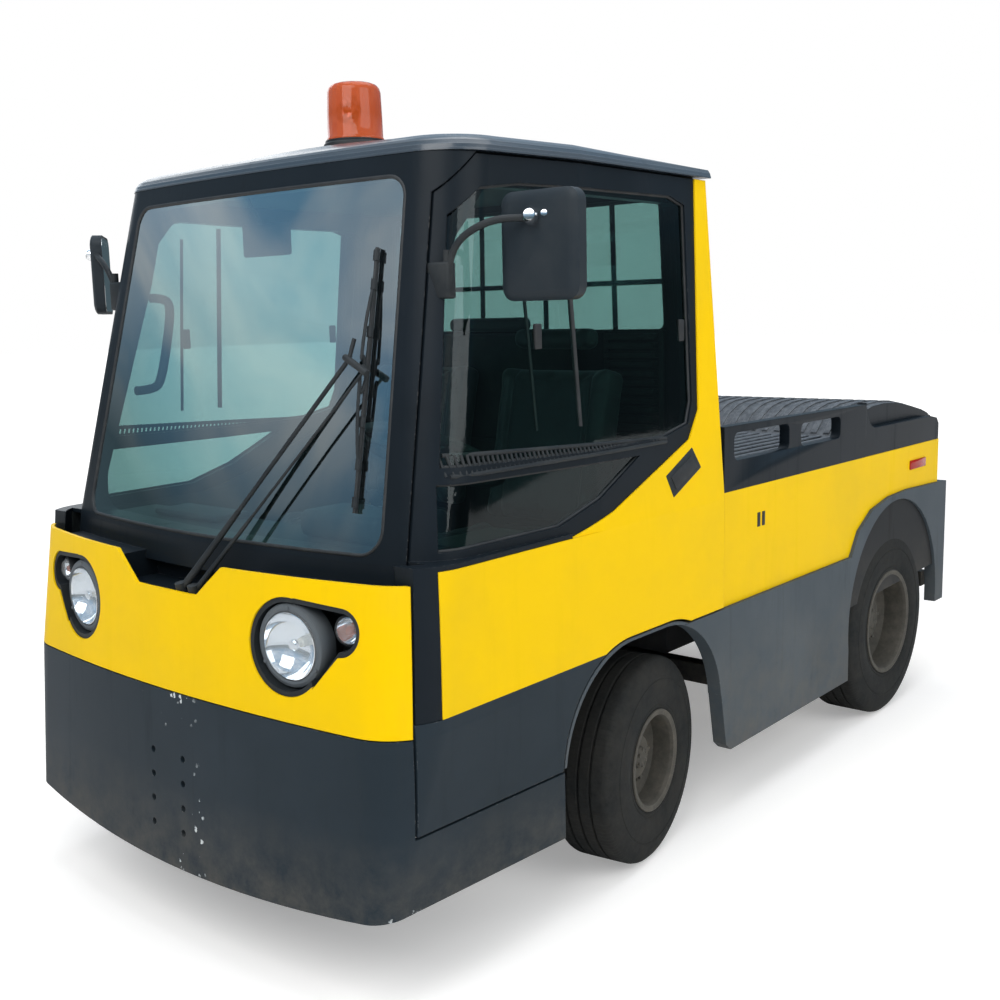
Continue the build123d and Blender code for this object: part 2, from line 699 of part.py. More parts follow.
def door_panel():
    """Lower panel of the left door, ahead of the wheel arch."""
    top = SKIN_FOOT - SEAT_GAP
    panel = body_wall(0.0, DOOR_T) & box(ARCH_FRONT - 200, body_edge(DOOR_BOTTOM), 0, 1000, DOOR_BOTTOM, top)
    return panel - arch(ARCH_LIP + GAP, 300, 900)


def handed(name, maker):
    """Left and right node of a piece."""
    left = maker()
    return {name + "_left": left, name + "_right": right_hand(left)}


# ---- rear ---------------------------------------------------------------------
def rear_body():
    """Yellow sides and tail of the rear body."""
    x0 = TAIL_X + 70
    x1 = CAB_REAR - 4
    outer = box(x0, x1, -REAR_HALF, REAR_HALF, SKIRT_TOP + SEAT_GAP, DECK_Z)
    inner = box(x0 + SHEET, x1 + 50, -REAR_HALF + SHEET, REAR_HALF - SHEET, 0, DECK_Z + 50)
    wall = outer - inner
    cut = side_prism(fender_outline(SEAT_GAP), 600, 900)
    wall = wall - cut - right_hand(cut)
    deck = box(x0 + SHEET, REAR_DECK_FRONT, -REAR_HALF + SHEET, REAR_HALF - SHEET, DECK_Z - SHEET, DECK_Z)
    tail = box(x0, x0 + SHEET, -600, 600, 480, SKIRT_TOP + 20)
    flange = box(REAR_DECK_FRONT - 5, x1, REAR_HALF - 60, REAR_HALF - SHEET / 2, DECK_Z - SHEET, DECK_Z)
    return wall + deck + tail + flange + right_hand(flange)


REAR_DECK_FRONT = -1290.0
REAR_WHEEL_Z = REAR_TYRE_D / 2
OPEN_X = -1655.0             # centre and radius of the rear wheel opening
OPEN_Z = 390.0
OPEN_R = 420.0
OPEN_FRONT = -1240.0
SKIRT_T = 44.0


def fender_outline(margin):
    """Upper edge of the rear fender, closed below."""
    return [(-1250 + margin, SKIRT_TOP + margin), (-1312, 742 + margin), (-1424, 802 + margin),
            (-1579, 830 + margin), (-1750, 836 + margin), (TAIL_X - 10, 822 + margin), (TAIL_X - 10, 0), (-1250, 0)]


def rear_opening():
    """Rear wheel opening: round above, straight legs below."""
    round_part = cylinder_y(OPEN_X, OPEN_Z, 600, 900, OPEN_R)
    return round_part + box(OPEN_X - OPEN_R, OPEN_FRONT, 600, 900, 0, OPEN_Z)


def side_skirts():
    """Grey side skirt and rear fender of both sides, with the lip of the front arch."""
    y0 = BODY_HALF - SKIRT_T
    outline = ((-1250, SKIRT_TOP), (-1250, SKIRT_BOTTOM), (-400, SKIRT_BOTTOM), (-372, 238),
               (ARCH_REAR - 1, 400), (ARCH_REAR + 200, 400), (ARCH_REAR + 200, SKIRT_TOP))
    skirt = side_prism(outline, y0, BODY_HALF)
    fender = side_prism(fender_outline(0.0), y0, BODY_HALF) & box(TAIL_X, -1250, y0, BODY_HALF, 335, 900)
    lip_top = ARCH_TOP + ARCH_LIP
    lip = arch(ARCH_LIP, y0, BODY_HALF - 2) & box(ARCH_REAR - 50, ARCH_FRONT + 20, 600, 900, DOOR_BOTTOM + 4, lip_top)
    return pair(skirt + fender + lip - rear_opening() - arch(0.0, 600, 900))


def deck_rails():
    """Side rails round the deck with rounded windows."""
    profile = [(CAB_REAR - 10, DECK_Z + 0.3), (CAB_REAR - 10, RAIL_TOP), (-1390, RAIL_TOP - 6),
               (-2020, 1123), (-2085, 1095), (TAIL_X + 76, 1050), (TAIL_X + 76, DECK_Z + 0.3)]
    rail = side_prism(profile, REAR_HALF - 34, REAR_HALF)
    for x0, x1, z0, z1 in RAIL_WINDOWS:
        window = side_prism(((x0, z0), (x1, z0), (x1, z1), (x0, z1)), 600, 900, 22.0)
        rail = rail - window
    return pair(rail)


# first x, last x, bottom z, top z
RAIL_WINDOWS = ((-780.0, -428.0, 1086.0, 1168.0), (-1160.0, -862.0, 1086.0, 1160.0))


def deck_lid():
    """Hinged cover over the battery."""
    x1 = CAB_REAR - 30
    slab = box(REAR_DECK_FRONT + GAP, x1, -LID_HALF, LID_HALF, DECK_Z + 60, DECK_Z + 76)
    skirt = slab_skirt(x1)
    return slab + skirt


LID_HALF = REAR_HALF - 34 - GAP


def slab_skirt(x1):
    """Down-turned rim of the cover."""
    outer = box(REAR_DECK_FRONT + GAP, x1, -LID_HALF, LID_HALF, DECK_Z + SEAT_GAP, DECK_Z + 60)
    inner = box(REAR_DECK_FRONT + GAP + 8, x1 - 8, -LID_HALF + 8, LID_HALF - 8, DECK_Z, DECK_Z + 61)
    return outer - inner


def battery():
    """Traction battery, one plain block."""
    return box(-1250, -430, -512, 512, RAIL_Z0 + RAIL_H + SEAT_GAP, 985)


def tow_coupling():
    """Stepped jaw coupling with its pin."""
    x0 = TAIL_X - HITCH_REACH
    plate = box(TAIL_X + 51.7, TAIL_X + 69.7, -150, 150, 320, 560)
    parts = plate
    for z in (350.0, 430.0, 510.0):
        parts = parts + box(x0, TAIL_X + 56, -70, 70, z, z + 18)
    parts = parts - rod((x0 + 45, 0, 300), (x0 + 45, 0, 600), 15.0)
    return parts


# ---- chassis and axles ------------------------------------------------------
RAIL_Y = 240.0
RAIL_W = 60.0
RAIL_Z0 = 395.0
RAIL_H = 70.0


# place along X, half length
SKIRT_SEAT = BODY_HALF - SKIRT_T - SEAT_GAP
CROSS_MEMBERS = ((-2060.0, SKIRT_SEAT), (-1205.0, SKIRT_SEAT), (-430.0, SKIRT_SEAT), (420.0, 600.0), (880.0, 600.0))


def front_trim():
    """What lies ahead of the front plate's inner face."""
    inner = hull(stretched(BODY_LEVELS), 0.0, BODY_TAPER_X, PLATE + SEAT_GAP)
    return box(900, NOSE_X + 50, -600, 600, 300, 600) - inner


def chassis_frame():
    """Two long rails, cross members and the front and rear plates."""
    x0 = TAIL_X + 74.0
    x1 = NOSE_X
    frame = box(x0, x1, RAIL_Y - RAIL_W / 2, RAIL_Y + RAIL_W / 2, RAIL_Z0, RAIL_Z0 + RAIL_H)
    frame = frame + right_hand(frame)
    for x, half in CROSS_MEMBERS:
        frame = frame + box(x - 25, x + 25, -half, half, RAIL_Z0 + 5, RAIL_Z0 + RAIL_H - 5)
    return frame - front_trim()


def tyre(diameter, width, rim_d, grooves):
    """Tyre about the Y axis at the origin, with grooves round the tread."""
    r = diameter / 2
    ri = rim_d / 2
    w = width / 2
    half = [(ri, -w + 12), (ri + 14, -w + 6), (r - 60, -w), (r - 22, -w + 7), (r, -w + 24)]
    points = list(half)
    for y in grooves:
        points += [(r, y - 4), (r - 9, y - 3), (r - 9, y + 3), (r, y + 4)]
    points += [(x, -y) for x, y in reversed(half)]
    face = Plane.XY * make_face(Polyline(*points, close=True))
    return revolve(face, axis=Axis.Y)


def rim(diameter, width, hub_r, offset, bore_r):
    """Steel rim about the Y axis: barrel, dished disc and hub."""
    r = diameter / 2
    w = width / 2
    t = 7.0
    points = [(r, -w + 12), (r, w - 12), (r + 12, w - 4), (r + 10, w), (r - 4, w - 3), (r - t, w - 14),
              (r - t, offset + 20), (r - 30, offset), (hub_r + 20, offset), (hub_r, offset + 34),
              (bore_r, offset + 34), (bore_r, offset - 40), (hub_r, offset - 40), (hub_r, offset - 8),
              (r - 34, offset - 8), (r - t, offset + 10), (r - t, -w + 14), (r - t, -w + 12)]
    face = Plane.XY * make_face(Polyline(*points, close=True))
    return revolve(face, axis=Axis.Y)


def placed_front(shape):
    """Left front wheel piece at its place, steered by the resting angle."""
    arm = FRONT_TRACK / 2 - KINGPIN_HALF
    return Pos(0, KINGPIN_HALF, FRONT_TYRE_D / 2) * Rot(0, 0, STEER_REST) * Pos(0, arm, 0) * shape


def placed_rear(shape):
    """Left rear wheel piece at its place."""
    return Pos(-WHEELBASE, REAR_TRACK / 2, REAR_WHEEL_Z) * shape


SPINDLE_R = 25.0


def knuckle():
    """Left steering knuckle: kingpin boss, spindle and steering arm."""
    boss = Cylinder(36.0, 96.0) - Cylinder(KINGPIN_R + SEAT_GAP, 120.0)
    arm = FRONT_TRACK / 2 - KINGPIN_HALF
    spindle = rod((0, 30, 0), (0, arm + 20, 0), SPINDLE_R - SEAT_GAP)
    lever = box(-150, 0, -14, 14, -40, -22)
    return boss + (spindle - Cylinder(KINGPIN_R + SEAT_GAP, 120.0)) + (lever - Cylinder(KINGPIN_R + SEAT_GAP, 120.0))


def front_axle():
    """Beam with forked ends and kingpins, and its leaf springs."""
    z = FRONT_TYRE_D / 2
    beam = box(-35, 35, -KINGPIN_HALF + 60, KINGPIN_HALF - 60, z - 40, z + 5)
    fork = box(-30, 30, KINGPIN_HALF - 80, KINGPIN_HALF + 34, z - 66, z + 66)
    fork = fork - box(-60, 60, KINGPIN_HALF - 45, KINGPIN_HALF + 60, z - 49, z + 49)
    pin = Pos(0, KINGPIN_HALF, z) * Cylinder(KINGPIN_R, 140.0)
    end = fork + pin
    pads = box(-30, 30, RAIL_Y - 28, RAIL_Y + 28, z, RAIL_Z0 - SEAT_GAP)
    return beam + pads + right_hand(pads) + end + right_hand(end)


def rear_axle():
    """Drive axle housing with the motor-gear bulb in the middle."""
    z = REAR_WHEEL_Z
    tube = cylinder_y(-WHEELBASE, z, -REAR_TRACK / 2 + 70, REAR_TRACK / 2 - 70, 44.0)
    bulb = Pos(-WHEELBASE, 0, z) * Rot(90, 0, 0) * Cylinder(135.0, 150.0)
    stub = cylinder_y(-WHEELBASE, z, -REAR_TRACK / 2 - 20, REAR_TRACK / 2 + 20, SPINDLE_R - SEAT_GAP)
    pads = box(-WHEELBASE - 60, -WHEELBASE + 60, RAIL_Y - 28, RAIL_Y + 28, z, RAIL_Z0 - SEAT_GAP)
    return tube + bulb + stub + pads + right_hand(pads)


# ---- mirrors, wiper, beacon ----------------------------------------------------
def mirror_arm():
    """Bent arm of the left mirror."""
    points = ((686, 647, 1600), (690, 690, 1680), (660, 800, 1724), (610, 850, 1724))
    bracket = box(672, 700, 560, 662, 1575, 1625)
    bracket = bracket - hull(CAB_LEVELS, 0.0, CAB_TAPER_X, FRAME_INSET - SEAT_GAP)
    parts = bracket
    for a, b in zip(points, points[1:]):
        parts = parts + rod(a, b, 9.0) + Pos(*b) * Sphere(9.0)
    return parts


def side_mirror():
    """Left mirror: head on its bent arm."""
    block = box(588, 616, 745, 955, 1550, 1784)
    return fillet(block.edges().filter_by(Axis.X), 30.0) + mirror_arm()


def wiper():
    """Wiper with two parallel arms and a blade."""
    foot = TRAY_Z + SHEET + SEAT_GAP
    arm_a = rod((1000, 40, foot + 12), (800, 460, 1440), 7.0)
    arm_b = rod((1000, 90, foot + 12), (800, 500, 1420), 5.0)
    blade = rod((870, 505, 1090), (742, 470, 1680), 8.0)
    link = rod((801, 455, 1438), (801, 505, 1418), 6.0)
    spindles = rod((1000, 40, foot), (1000, 40, foot + 16), 9.0) + rod((1000, 90, foot), (1000, 90, foot + 16), 9.0)
    return arm_a + arm_b + blade + link + spindles


def beacon_base():
    """Rubber foot of the beacon."""
    z = beacon_seat()
    return Pos(BEACON_X, BEACON_Y, z + 12.0) * Cylinder(BEACON_R, 24.0)


def roof_height(x, y):
    """Height of the roof's dome."""
    ball_r = (TUMBLE_HALF ** 2 + ROOF_CROWN ** 2) / (2 * ROOF_CROWN)
    reach = math.hypot(x - 150.0, y)
    return ROOF_SEAT + ROOF_EDGE + ROOF_CROWN - ball_r + math.sqrt(ball_r ** 2 - reach ** 2)


def beacon_seat():
    """Height of the beacon's foot, just clear of the roof at its highest point."""
    return roof_height(BEACON_X - BEACON_R, 0.0) + SEAT_GAP


def beacon_dome():
    """Amber dome."""
    z = beacon_seat() + 24.3
    cone = Cone(BEACON_R - 4, BEACON_R - 12, BEACON_H - 24, align=(Align.CENTER, Align.CENTER, Align.MIN))
    cone = fillet(cone.edges().sort_by(Axis.Z)[-1], 26.0)
    return Pos(BEACON_X, BEACON_Y, z) * cone


# ---- nodes -----------------------------------------------------------------
def all_nodes():
    front_tyre = tyre(FRONT_TYRE_D, FRONT_TYRE_W, FRONT_RIM_D, (-36.0, 0.0, 36.0))
    rear_tyre = tyre(REAR_TYRE_D, REAR_TYRE_W, REAR_RIM_D, (-40.0, 0.0, 40.0))
    front_rim = rim(FRONT_RIM_D, FRONT_TYRE_W, 58.0, 8.0, SPINDLE_R)
    rear_rim = rim(REAR_RIM_D, REAR_TYRE_W, 75.0, -10.0, SPINDLE_R)
    knuckle_left = Pos(0, KINGPIN_HALF, FRONT_TYRE_D / 2) * Rot(0, 0, STEER_REST) * knuckle()
    knuckle_right = Pos(0, -KINGPIN_HALF, FRONT_TYRE_D / 2) * Rot(0, 0, STEER_REST) * right_hand(knuckle())
    side_arm = FRONT_TRACK / 2 - KINGPIN_HALF
    far_front = Pos(0, -KINGPIN_HALF, FRONT_TYRE_D / 2) * Rot(0, 0, STEER_REST) * Pos(0, -side_arm, 0)
    nodes = {
        "chassis_frame": chassis_frame(),
        "front_bumper": front_bumper(),
        "front_cowl": front_cowl(),
        "lamp_housings": lamp_housings(),
        "lamp_lenses": lamp_lenses(),
        "cab_frame": cab_frame(),
        "cab_glass": cab_glass(),
        "rear_wall": rear_wall(),
        "roof": roof(),
        "cab_floor": solids_of(cab_floor(), seat_bases()),
        "dashboard": dashboard(),
        "steering_wheel": steering_wheel(),
        "seat_cushions": seat_cushions(),
        "seat_backs": seat_backs(),
        "rear_body": rear_body(),
        "side_skirts": side_skirts(),
        "deck_rails": deck_rails(),
        "deck_lid": deck_lid(),
        "battery": battery(),
        "tow_coupling": tow_coupling(),
        "front_axle": front_axle(),
        "rear_axle": rear_axle(),
        "knuckle_left": knuckle_left,
        "knuckle_right": knuckle_right,
        "wiper": wiper(),
        "beacon_base": beacon_base(),
        "beacon_dome": beacon_dome(),
        "front_left_tyre": placed_front(front_tyre),
        "front_left_rim": placed_front(front_rim),
        "front_right_tyre": far_front * right_hand(front_tyre),
        "front_right_rim": far_front * right_hand(front_rim),
        "rear_left_tyre": placed_rear(rear_tyre),
        "rear_left_rim": placed_rear(rear_rim),
        "rear_right_tyre": right_hand(placed_rear(rear_tyre)),
        "rear_right_rim": right_hand(placed_rear(rear_rim)),
    }
    for name, maker in (("door_skin", door_skin), ("door_frame", door_frame), ("door_glass", door_glass),
                        ("door_panel", door_panel), ("mirror", side_mirror)):
        nodes.update(handed(name, maker))
    return nodes


def main():
    os.makedirs("parts", exist_ok=True)
    for name, shape in all_nodes().items():
        export_step(Pos(-ORIGIN_X, 0, 0) * shape, "parts/" + name + ".step")


main()
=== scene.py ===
import json
import math

import bmesh
import bpy
from mathutils import Matrix, Vector
from mathutils.bvhtree import BVHTree


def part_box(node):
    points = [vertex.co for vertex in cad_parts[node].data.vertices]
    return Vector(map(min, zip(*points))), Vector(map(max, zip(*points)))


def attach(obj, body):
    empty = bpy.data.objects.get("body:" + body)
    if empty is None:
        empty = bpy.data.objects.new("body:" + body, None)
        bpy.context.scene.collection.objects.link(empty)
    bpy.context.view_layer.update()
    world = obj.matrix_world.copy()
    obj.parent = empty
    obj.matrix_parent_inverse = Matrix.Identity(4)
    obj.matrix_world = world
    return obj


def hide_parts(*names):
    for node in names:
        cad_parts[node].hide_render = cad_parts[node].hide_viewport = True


bl_info = {
    "name": "Baggage Tug",
    "version": (1, 0, 0),
    "blender": (4, 5, 0),
    "location": "3D View > Sidebar > Tug",
    "description": "Builds the finishes and fittings of an airport baggage tug round its frame",
    "category": "Object",
}

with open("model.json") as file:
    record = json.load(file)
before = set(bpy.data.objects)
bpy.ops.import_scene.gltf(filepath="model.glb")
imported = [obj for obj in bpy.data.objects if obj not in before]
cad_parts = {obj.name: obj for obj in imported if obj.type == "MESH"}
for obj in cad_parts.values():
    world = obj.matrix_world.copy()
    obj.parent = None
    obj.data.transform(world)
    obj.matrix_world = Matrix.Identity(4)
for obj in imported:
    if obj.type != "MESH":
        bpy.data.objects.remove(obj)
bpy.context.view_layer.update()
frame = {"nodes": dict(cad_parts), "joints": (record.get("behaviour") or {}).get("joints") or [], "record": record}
NODES = frame["nodes"]
JOINTS = {joint["name"]: joint for joint in frame["joints"]}
AXLE_X = JOINTS["left_steering"]["pos_m"][0]
SIDES = (("left", 1), ("right", -1))


# ---- small tools ------------------------------------------------------------
def at(x, y, z):
    """Point in millimetres: ahead of the front axle, to the left, above the ground."""
    return Vector((AXLE_X + x / 1000, y / 1000, z / 1000))


def mm(*values):
    """Vector given in millimetres."""
    return Vector(values) / 1000


def srgb(code):
    """Linear colour of an sRGB hex code."""
    channels = [int(code[i:i + 2], 16) / 255 for i in (1, 3, 5)]
    return tuple(c / 12.92 if c <= 0.04045 else ((c + 0.055) / 1.055) ** 2.4 for c in channels)


def rgba(colour):
    """Colour with full cover, as shader sockets take it."""
    return (colour[0], colour[1], colour[2], 1.0)


def brick(size, radius=0.0, segments=3):
    """Box about the origin with rounded edges."""
    bm = bmesh.new()
    bmesh.ops.create_cube(bm, size=1.0)
    bmesh.ops.scale(bm, vec=mm(*size), verts=bm.verts)
    if radius:
        bmesh.ops.bevel(bm, geom=bm.edges[:], offset=radius / 1000, offset_type="OFFSET", affect="EDGES",
                        segments=segments, profile=0.5, material=-1)
    return bm


def slab(low, high, radius=0.0, segments=3):
    """Box between two corners given in millimetres from the axle."""
    bm = brick([h - l for l, h in zip(low, high)], radius, segments)
    bmesh.ops.translate(bm, vec=(at(*low) + at(*high)) / 2, verts=bm.verts)
    return bm


def turned(profile, steps=48):
    """Solid turned about Z from a profile of radius and height."""
    bm = bmesh.new()
    points = [bm.verts.new((r / 1000, 0, z / 1000)) for r, z in profile]
    edges = [bm.edges.new(ends) for ends in zip(points, points[1:])]
    bmesh.ops.spin(bm, geom=points + edges, cent=(0, 0, 0), axis=(0, 0, 1), angle=2 * math.pi, steps=steps,
                   use_merge=True)
    bmesh.ops.remove_doubles(bm, verts=bm.verts, dist=1e-6)
    return bm


def bar(start, end, radius, sides=16, tip=None):
    """Round bar between two points, tapering to a tip radius if one is given."""
    bm = bmesh.new()
    run = end - start
    bmesh.ops.create_cone(bm, cap_ends=True, segments=sides, radius1=radius / 1000,
                          radius2=(radius if tip is None else tip) / 1000, depth=run.length)
    turn = run.to_track_quat("Z", "Y").to_matrix().to_4x4()
    bmesh.ops.transform(bm, matrix=Matrix.Translation((start + end) / 2) @ turn, verts=bm.verts)
    return bm


def run_of(points, radius, smooth=True, closed=False, sides=3):
    """Round bar that follows points, smoothly or straight from one to the next."""
    curve = bpy.data.curves.new("run", "CURVE")
    curve.dimensions = "3D"
    curve.bevel_depth = radius / 1000
    curve.bevel_resolution = sides
    curve.use_fill_caps = True
    curve.resolution_u = 8
    spline = curve.splines.new("NURBS" if smooth else "POLY")
    spline.points.add(len(points) - 1)
    for point, place in zip(spline.points, points):
        point.co = (*place, 1.0)
    spline.use_cyclic_u = closed
    if smooth:
        spline.order_u = 3
        spline.use_endpoint_u = not closed
    holder = bpy.data.objects.new("run", curve)
    mesh = bpy.data.meshes.new_from_object(holder)
    bm = bmesh.new()
    bm.from_mesh(mesh)
    bpy.data.objects.remove(holder)
    bpy.data.curves.remove(curve)
    bpy.data.meshes.remove(mesh)
    bmesh.ops.remove_doubles(bm, verts=bm.verts, dist=1e-6)
    return bm


def join(bm, part, matrix=Matrix()):
    """Adds a shape to another one, moved by a matrix."""
    bmesh.ops.transform(part, matrix=matrix, verts=part.verts)
    mesh = bpy.data.meshes.new("part")
    part.to_mesh(mesh)
    part.free()
    bm.from_mesh(mesh)
    bpy.data.meshes.remove(mesh)


def flipped(bm, side):
    """The shape for a side of the vehicle: as it is, or its mirror image."""
    if side < 0:
        bmesh.ops.scale(bm, vec=(1, -1, 1), verts=bm.verts)
    return bm


def piece(name, bm, finish, body, smooth=35.0):
    """Finished object of a shape, shaded smooth below an angle and riding on a body."""
    bmesh.ops.recalc_face_normals(bm, faces=bm.faces)
    mesh = bpy.data.meshes.new(name)
    bm.to_mesh(mesh)
    bm.free()
    mesh.shade_smooth()
    mesh.set_sharp_from_angle(angle=math.radians(smooth))
    made = bpy.data.objects.new(name, mesh)
    bpy.context.scene.collection.objects.link(made)
    mesh.materials.append(bpy.data.materials[finish])
    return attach(made, body)


def facing_loops(node, towards, share=0.6, least=0.2):
    """Closed loops of points round the faces of a frame node that look a given way."""
    bm = bmesh.new()
    bm.from_mesh(NODES[node].data)
    bmesh.ops.remove_doubles(bm, verts=bm.verts, dist=1e-5)
    facing = {f for f in bm.faces if f.normal.dot(towards) > share}
    rim = [e for e in bm.edges if sum(f in facing for f in e.link_faces) == 1]
    after = {}
    for edge in rim:
        for a, b in (tuple(edge.verts), tuple(reversed(edge.verts))):
            after.setdefault(a, []).append(b)
    loops, used = [], set()
    for start in after:
        if start in used:
            continue
        loop, here = [start], start
        used.add(start)
        while True:
            onward = [v for v in after[here] if v not in used]
            if not onward:
                break
            here = onward[0]
            used.add(here)
            loop.append(here)
        length = sum((a.co - b.co).length for a, b in zip(loop, loop[1:]))
        if length > least:
            loops.append([v.co.copy() for v in loop])
    bm.free()
    return loops


def thinned(loop, step):
    """The loop without points closer together than a step."""
    kept = [loop[0]]
    for point in loop[1:]:
        if (point - kept[-1]).length > step / 1000:
            kept.append(point)
    return kept


TREES = {}


def cast(node, origin, way, reach=5.0):
    """Where a ray meets a frame node, shown or replaced: point and normal, or None twice."""
    if node not in TREES:
        bm = bmesh.new()
        bm.from_mesh(NODES[node].data)
        TREES[node] = BVHTree.FromBMesh(bm)
        bm.free()
    point, normal, _, _ = TREES[node].ray_cast(origin, way, reach)
    return point, normal


def surface(node, x, z, side=1):
    """Point of a node's outer side at a place along and up the vehicle, and its normal."""
    point, normal = cast(node, at(x, 1500 * side, z), Vector((0, -side, 0)))
    if point is None:
        raise RuntimeError("nothing of " + node + " at " + str((x, z)))
    return point, normal


def seated(point, normal, up=Vector((0, 0, 1))):
    """Matrix that puts local Z on a normal at a point, with local Y as near up as it can be."""
    z = normal.normalized()
    x = up.cross(z).normalized()
    y = z.cross(x)
    turn = Matrix((x, y, z)).transposed().to_4x4()
    return Matrix.Translation(point) @ turn


def axle_frame(joint):
    """Matrix with local Z along a wheel's axle, pointing outboard, at its centre."""
    centre, axis = Vector(JOINTS[joint]["pos_m"]), Vector(JOINTS[joint]["axis"])
    outboard = axis if axis.y * centre.y > 0 else -axis
    return seated(centre, outboard)


# ---- settings ------------------------------------------------------------------
def colour_setting(name, description, code):
    """Colour in the panel, from an sRGB hex code."""
    return bpy.props.FloatVectorProperty(name=name, description=description, subtype="COLOR", size=3, min=0, max=1,
                                         default=srgb(code))


def length_setting(name, description, value):
    """Length in the panel, from millimetres."""
    return bpy.props.FloatProperty(name=name, description=description, default=value / 1000, unit="LENGTH",
                                   subtype="DISTANCE", precision=4)


class TugColours(bpy.types.PropertyGroup):
    """Colours of the tug's finishes."""
    yellow: colour_setting("Yellow", "Enamel of the body and doors", "#F3C800")
    yellow_faded: colour_setting("Faded yellow", "Enamel where sun and washing have bleached it", "#E3BE1C")
    anthracite: colour_setting("Anthracite", "Powder coat of cab and front plate", "#202B33")
    cab_black: colour_setting("Cab black", "Powder coat of pillars, door frames and rails", "#131A20")
    worn_grey: colour_setting("Worn grey", "Side skirts and fenders", "#424B52")
    black: colour_setting("Black", "Chassis paint and plastic", "#1C1E20")
    rubber: colour_setting("Rubber", "Tyres", "#1B1D1E")
    dust: colour_setting("Dust", "Dry road dust", "#7D766A")
    rim: colour_setting("Wheel grey", "Wheel discs under their dust", "#45443F")
    amber: colour_setting("Amber", "Beacon dome", "#C9540A")
    vinyl: colour_setting("Vinyl", "Seat covers", "#2C3337")
    interior: colour_setting("Interior", "Moulded trim of the cab", "#2A3133")
    deck: colour_setting("Deck", "Worn deck plates", "#62676D")
    tint: colour_setting("Glass tint", "What a pane lets through", "#B9CDC9")


class TugSizes(bpy.types.PropertyGroup):
    """Sizes of the fittings."""
    groove: length_setting("Tread groove", "Width of the grooves round a tyre", 7.0)
    groove_depth: length_setting("Groove depth", "Depth of the grooves round a tyre", 8.0)
    seal: length_setting("Window seal", "Radius of the rubber round a pane", 5.0)
    nut: length_setting("Wheel nut", "Width of a wheel nut across its flats", 27.0)
    slat: length_setting("Deck slat pitch", "Spacing of the ribs on the deck", 48.0)
    channel: length_setting("Seat channel", "Spacing of the sewn channels of a seat", 62.0)


class TugStage(bpy.types.PropertyGroup):
    """Camera and light."""
    heading: bpy.props.FloatProperty(name="Heading", description="Direction the camera looks in", default=3.84138,
                                     subtype="ANGLE")
    tilt: bpy.props.FloatProperty(name="Tilt", description="Camera angle above level", default=-0.154254,
                                  subtype="ANGLE")
    roll: bpy.props.FloatProperty(name="Roll", description="Camera turn about its own line of sight",
                                  default=-0.022099, subtype="ANGLE")
    lens: bpy.props.FloatProperty(name="Lens", description="Focal length in millimetres", default=42.64)


# ---- finishes ---------------------------------------------------------------------
def add(tree, kind, inputs=None, **settings):
    """Adds one shader node with its settings; inputs holds values or the sockets to link from."""
    made = tree.nodes.new("ShaderNode" + kind)
    for name, value in settings.items():
        setattr(made, name, value)
    for socket, value in (inputs or {}).items():
        if isinstance(value, bpy.types.NodeSocket):
            tree.links.new(value, made.inputs[socket])
        else:
            made.inputs[socket].default_value = value
    return made


def new_finish(name):
    """Empty node tree of a new material."""
    made = bpy.data.materials.new(name)
    made.use_nodes = True
    made.node_tree.nodes.clear()
    return made.node_tree


def grain(tree, where, size_mm, detail=3.0, roughness=0.5, stretch=None):
    """Noise with spots of a real size, drawn out along an axis where stretch says so."""
    if stretch:
        where = add(tree, "Mapping", {"Vector": where, "Scale": stretch}).outputs[0]
    return add(tree, "TexNoise", {"Vector": where, "Scale": 1000 / size_mm, "Detail": detail,
                                  "Roughness": roughness}).outputs[0]


def ramp(tree, value, low, high, to_low=0.0, to_high=1.0):
    """Value stretched from one range to another and held at its ends."""
    return add(tree, "MapRange", {0: value, 1: low, 2: high, 3: to_low, 4: to_high}).outputs[0]


def times(tree, a, b):
    """Product of two values."""
    return add(tree, "Math", {0: a, 1: b}, operation="MULTIPLY").outputs[0]


def larger(tree, a, b):
    """The greater of two values."""
    return add(tree, "Math", {0: a, 1: b}, operation="MAXIMUM").outputs[0]


def blend_colour(tree, share, a, b):
    """Mix of two colours, the second one by a share."""
    return add(tree, "Mix", {0: share, 6: a, 7: b}, data_type="RGBA").outputs[2]


def spot(tree, where, centre, reach):
    """1 inside an ellipsoid round a place on the vehicle, fading to 0 at its rim."""
    scale = [1000 / r for r in reach]
    local = add(tree, "Mapping", {"Vector": where, "Location": [-c * s for c, s in zip(at(*centre), scale)],
                                  "Scale": scale}).outputs[0]
    far = add(tree, "VectorMath", {0: local}, operation="LENGTH").outputs["Value"]
    return ramp(tree, far, 1.0, 0.7)


def shaded(tree, colour, roughness, normal=None, **sockets):
    """Principled shader joined to the output."""
    inputs = {"Base Color": colour, "Roughness": roughness}
    if normal is not None:
        inputs["Normal"] = normal
    inputs.update({name.replace("_", " "): value for name, value in sockets.items()})
    made = add(tree, "BsdfPrincipled", inputs)
    add(tree, "OutputMaterial", {"Surface": made.outputs[0]})
    return made


def eased_edges(tree, radius_mm):
    """Normal that rounds the edges of pressed sheet, and how close a point is to an edge."""
    soft = add(tree, "Bevel", {"Radius": radius_mm / 1000}, samples=4).outputs[0]
    true = add(tree, "NewGeometry").outputs["Normal"]
    same = add(tree, "VectorMath", {0: soft, 1: true}, operation="DOT_PRODUCT").outputs["Value"]
    return soft, ramp(tree, same, 0.98, 0.8)


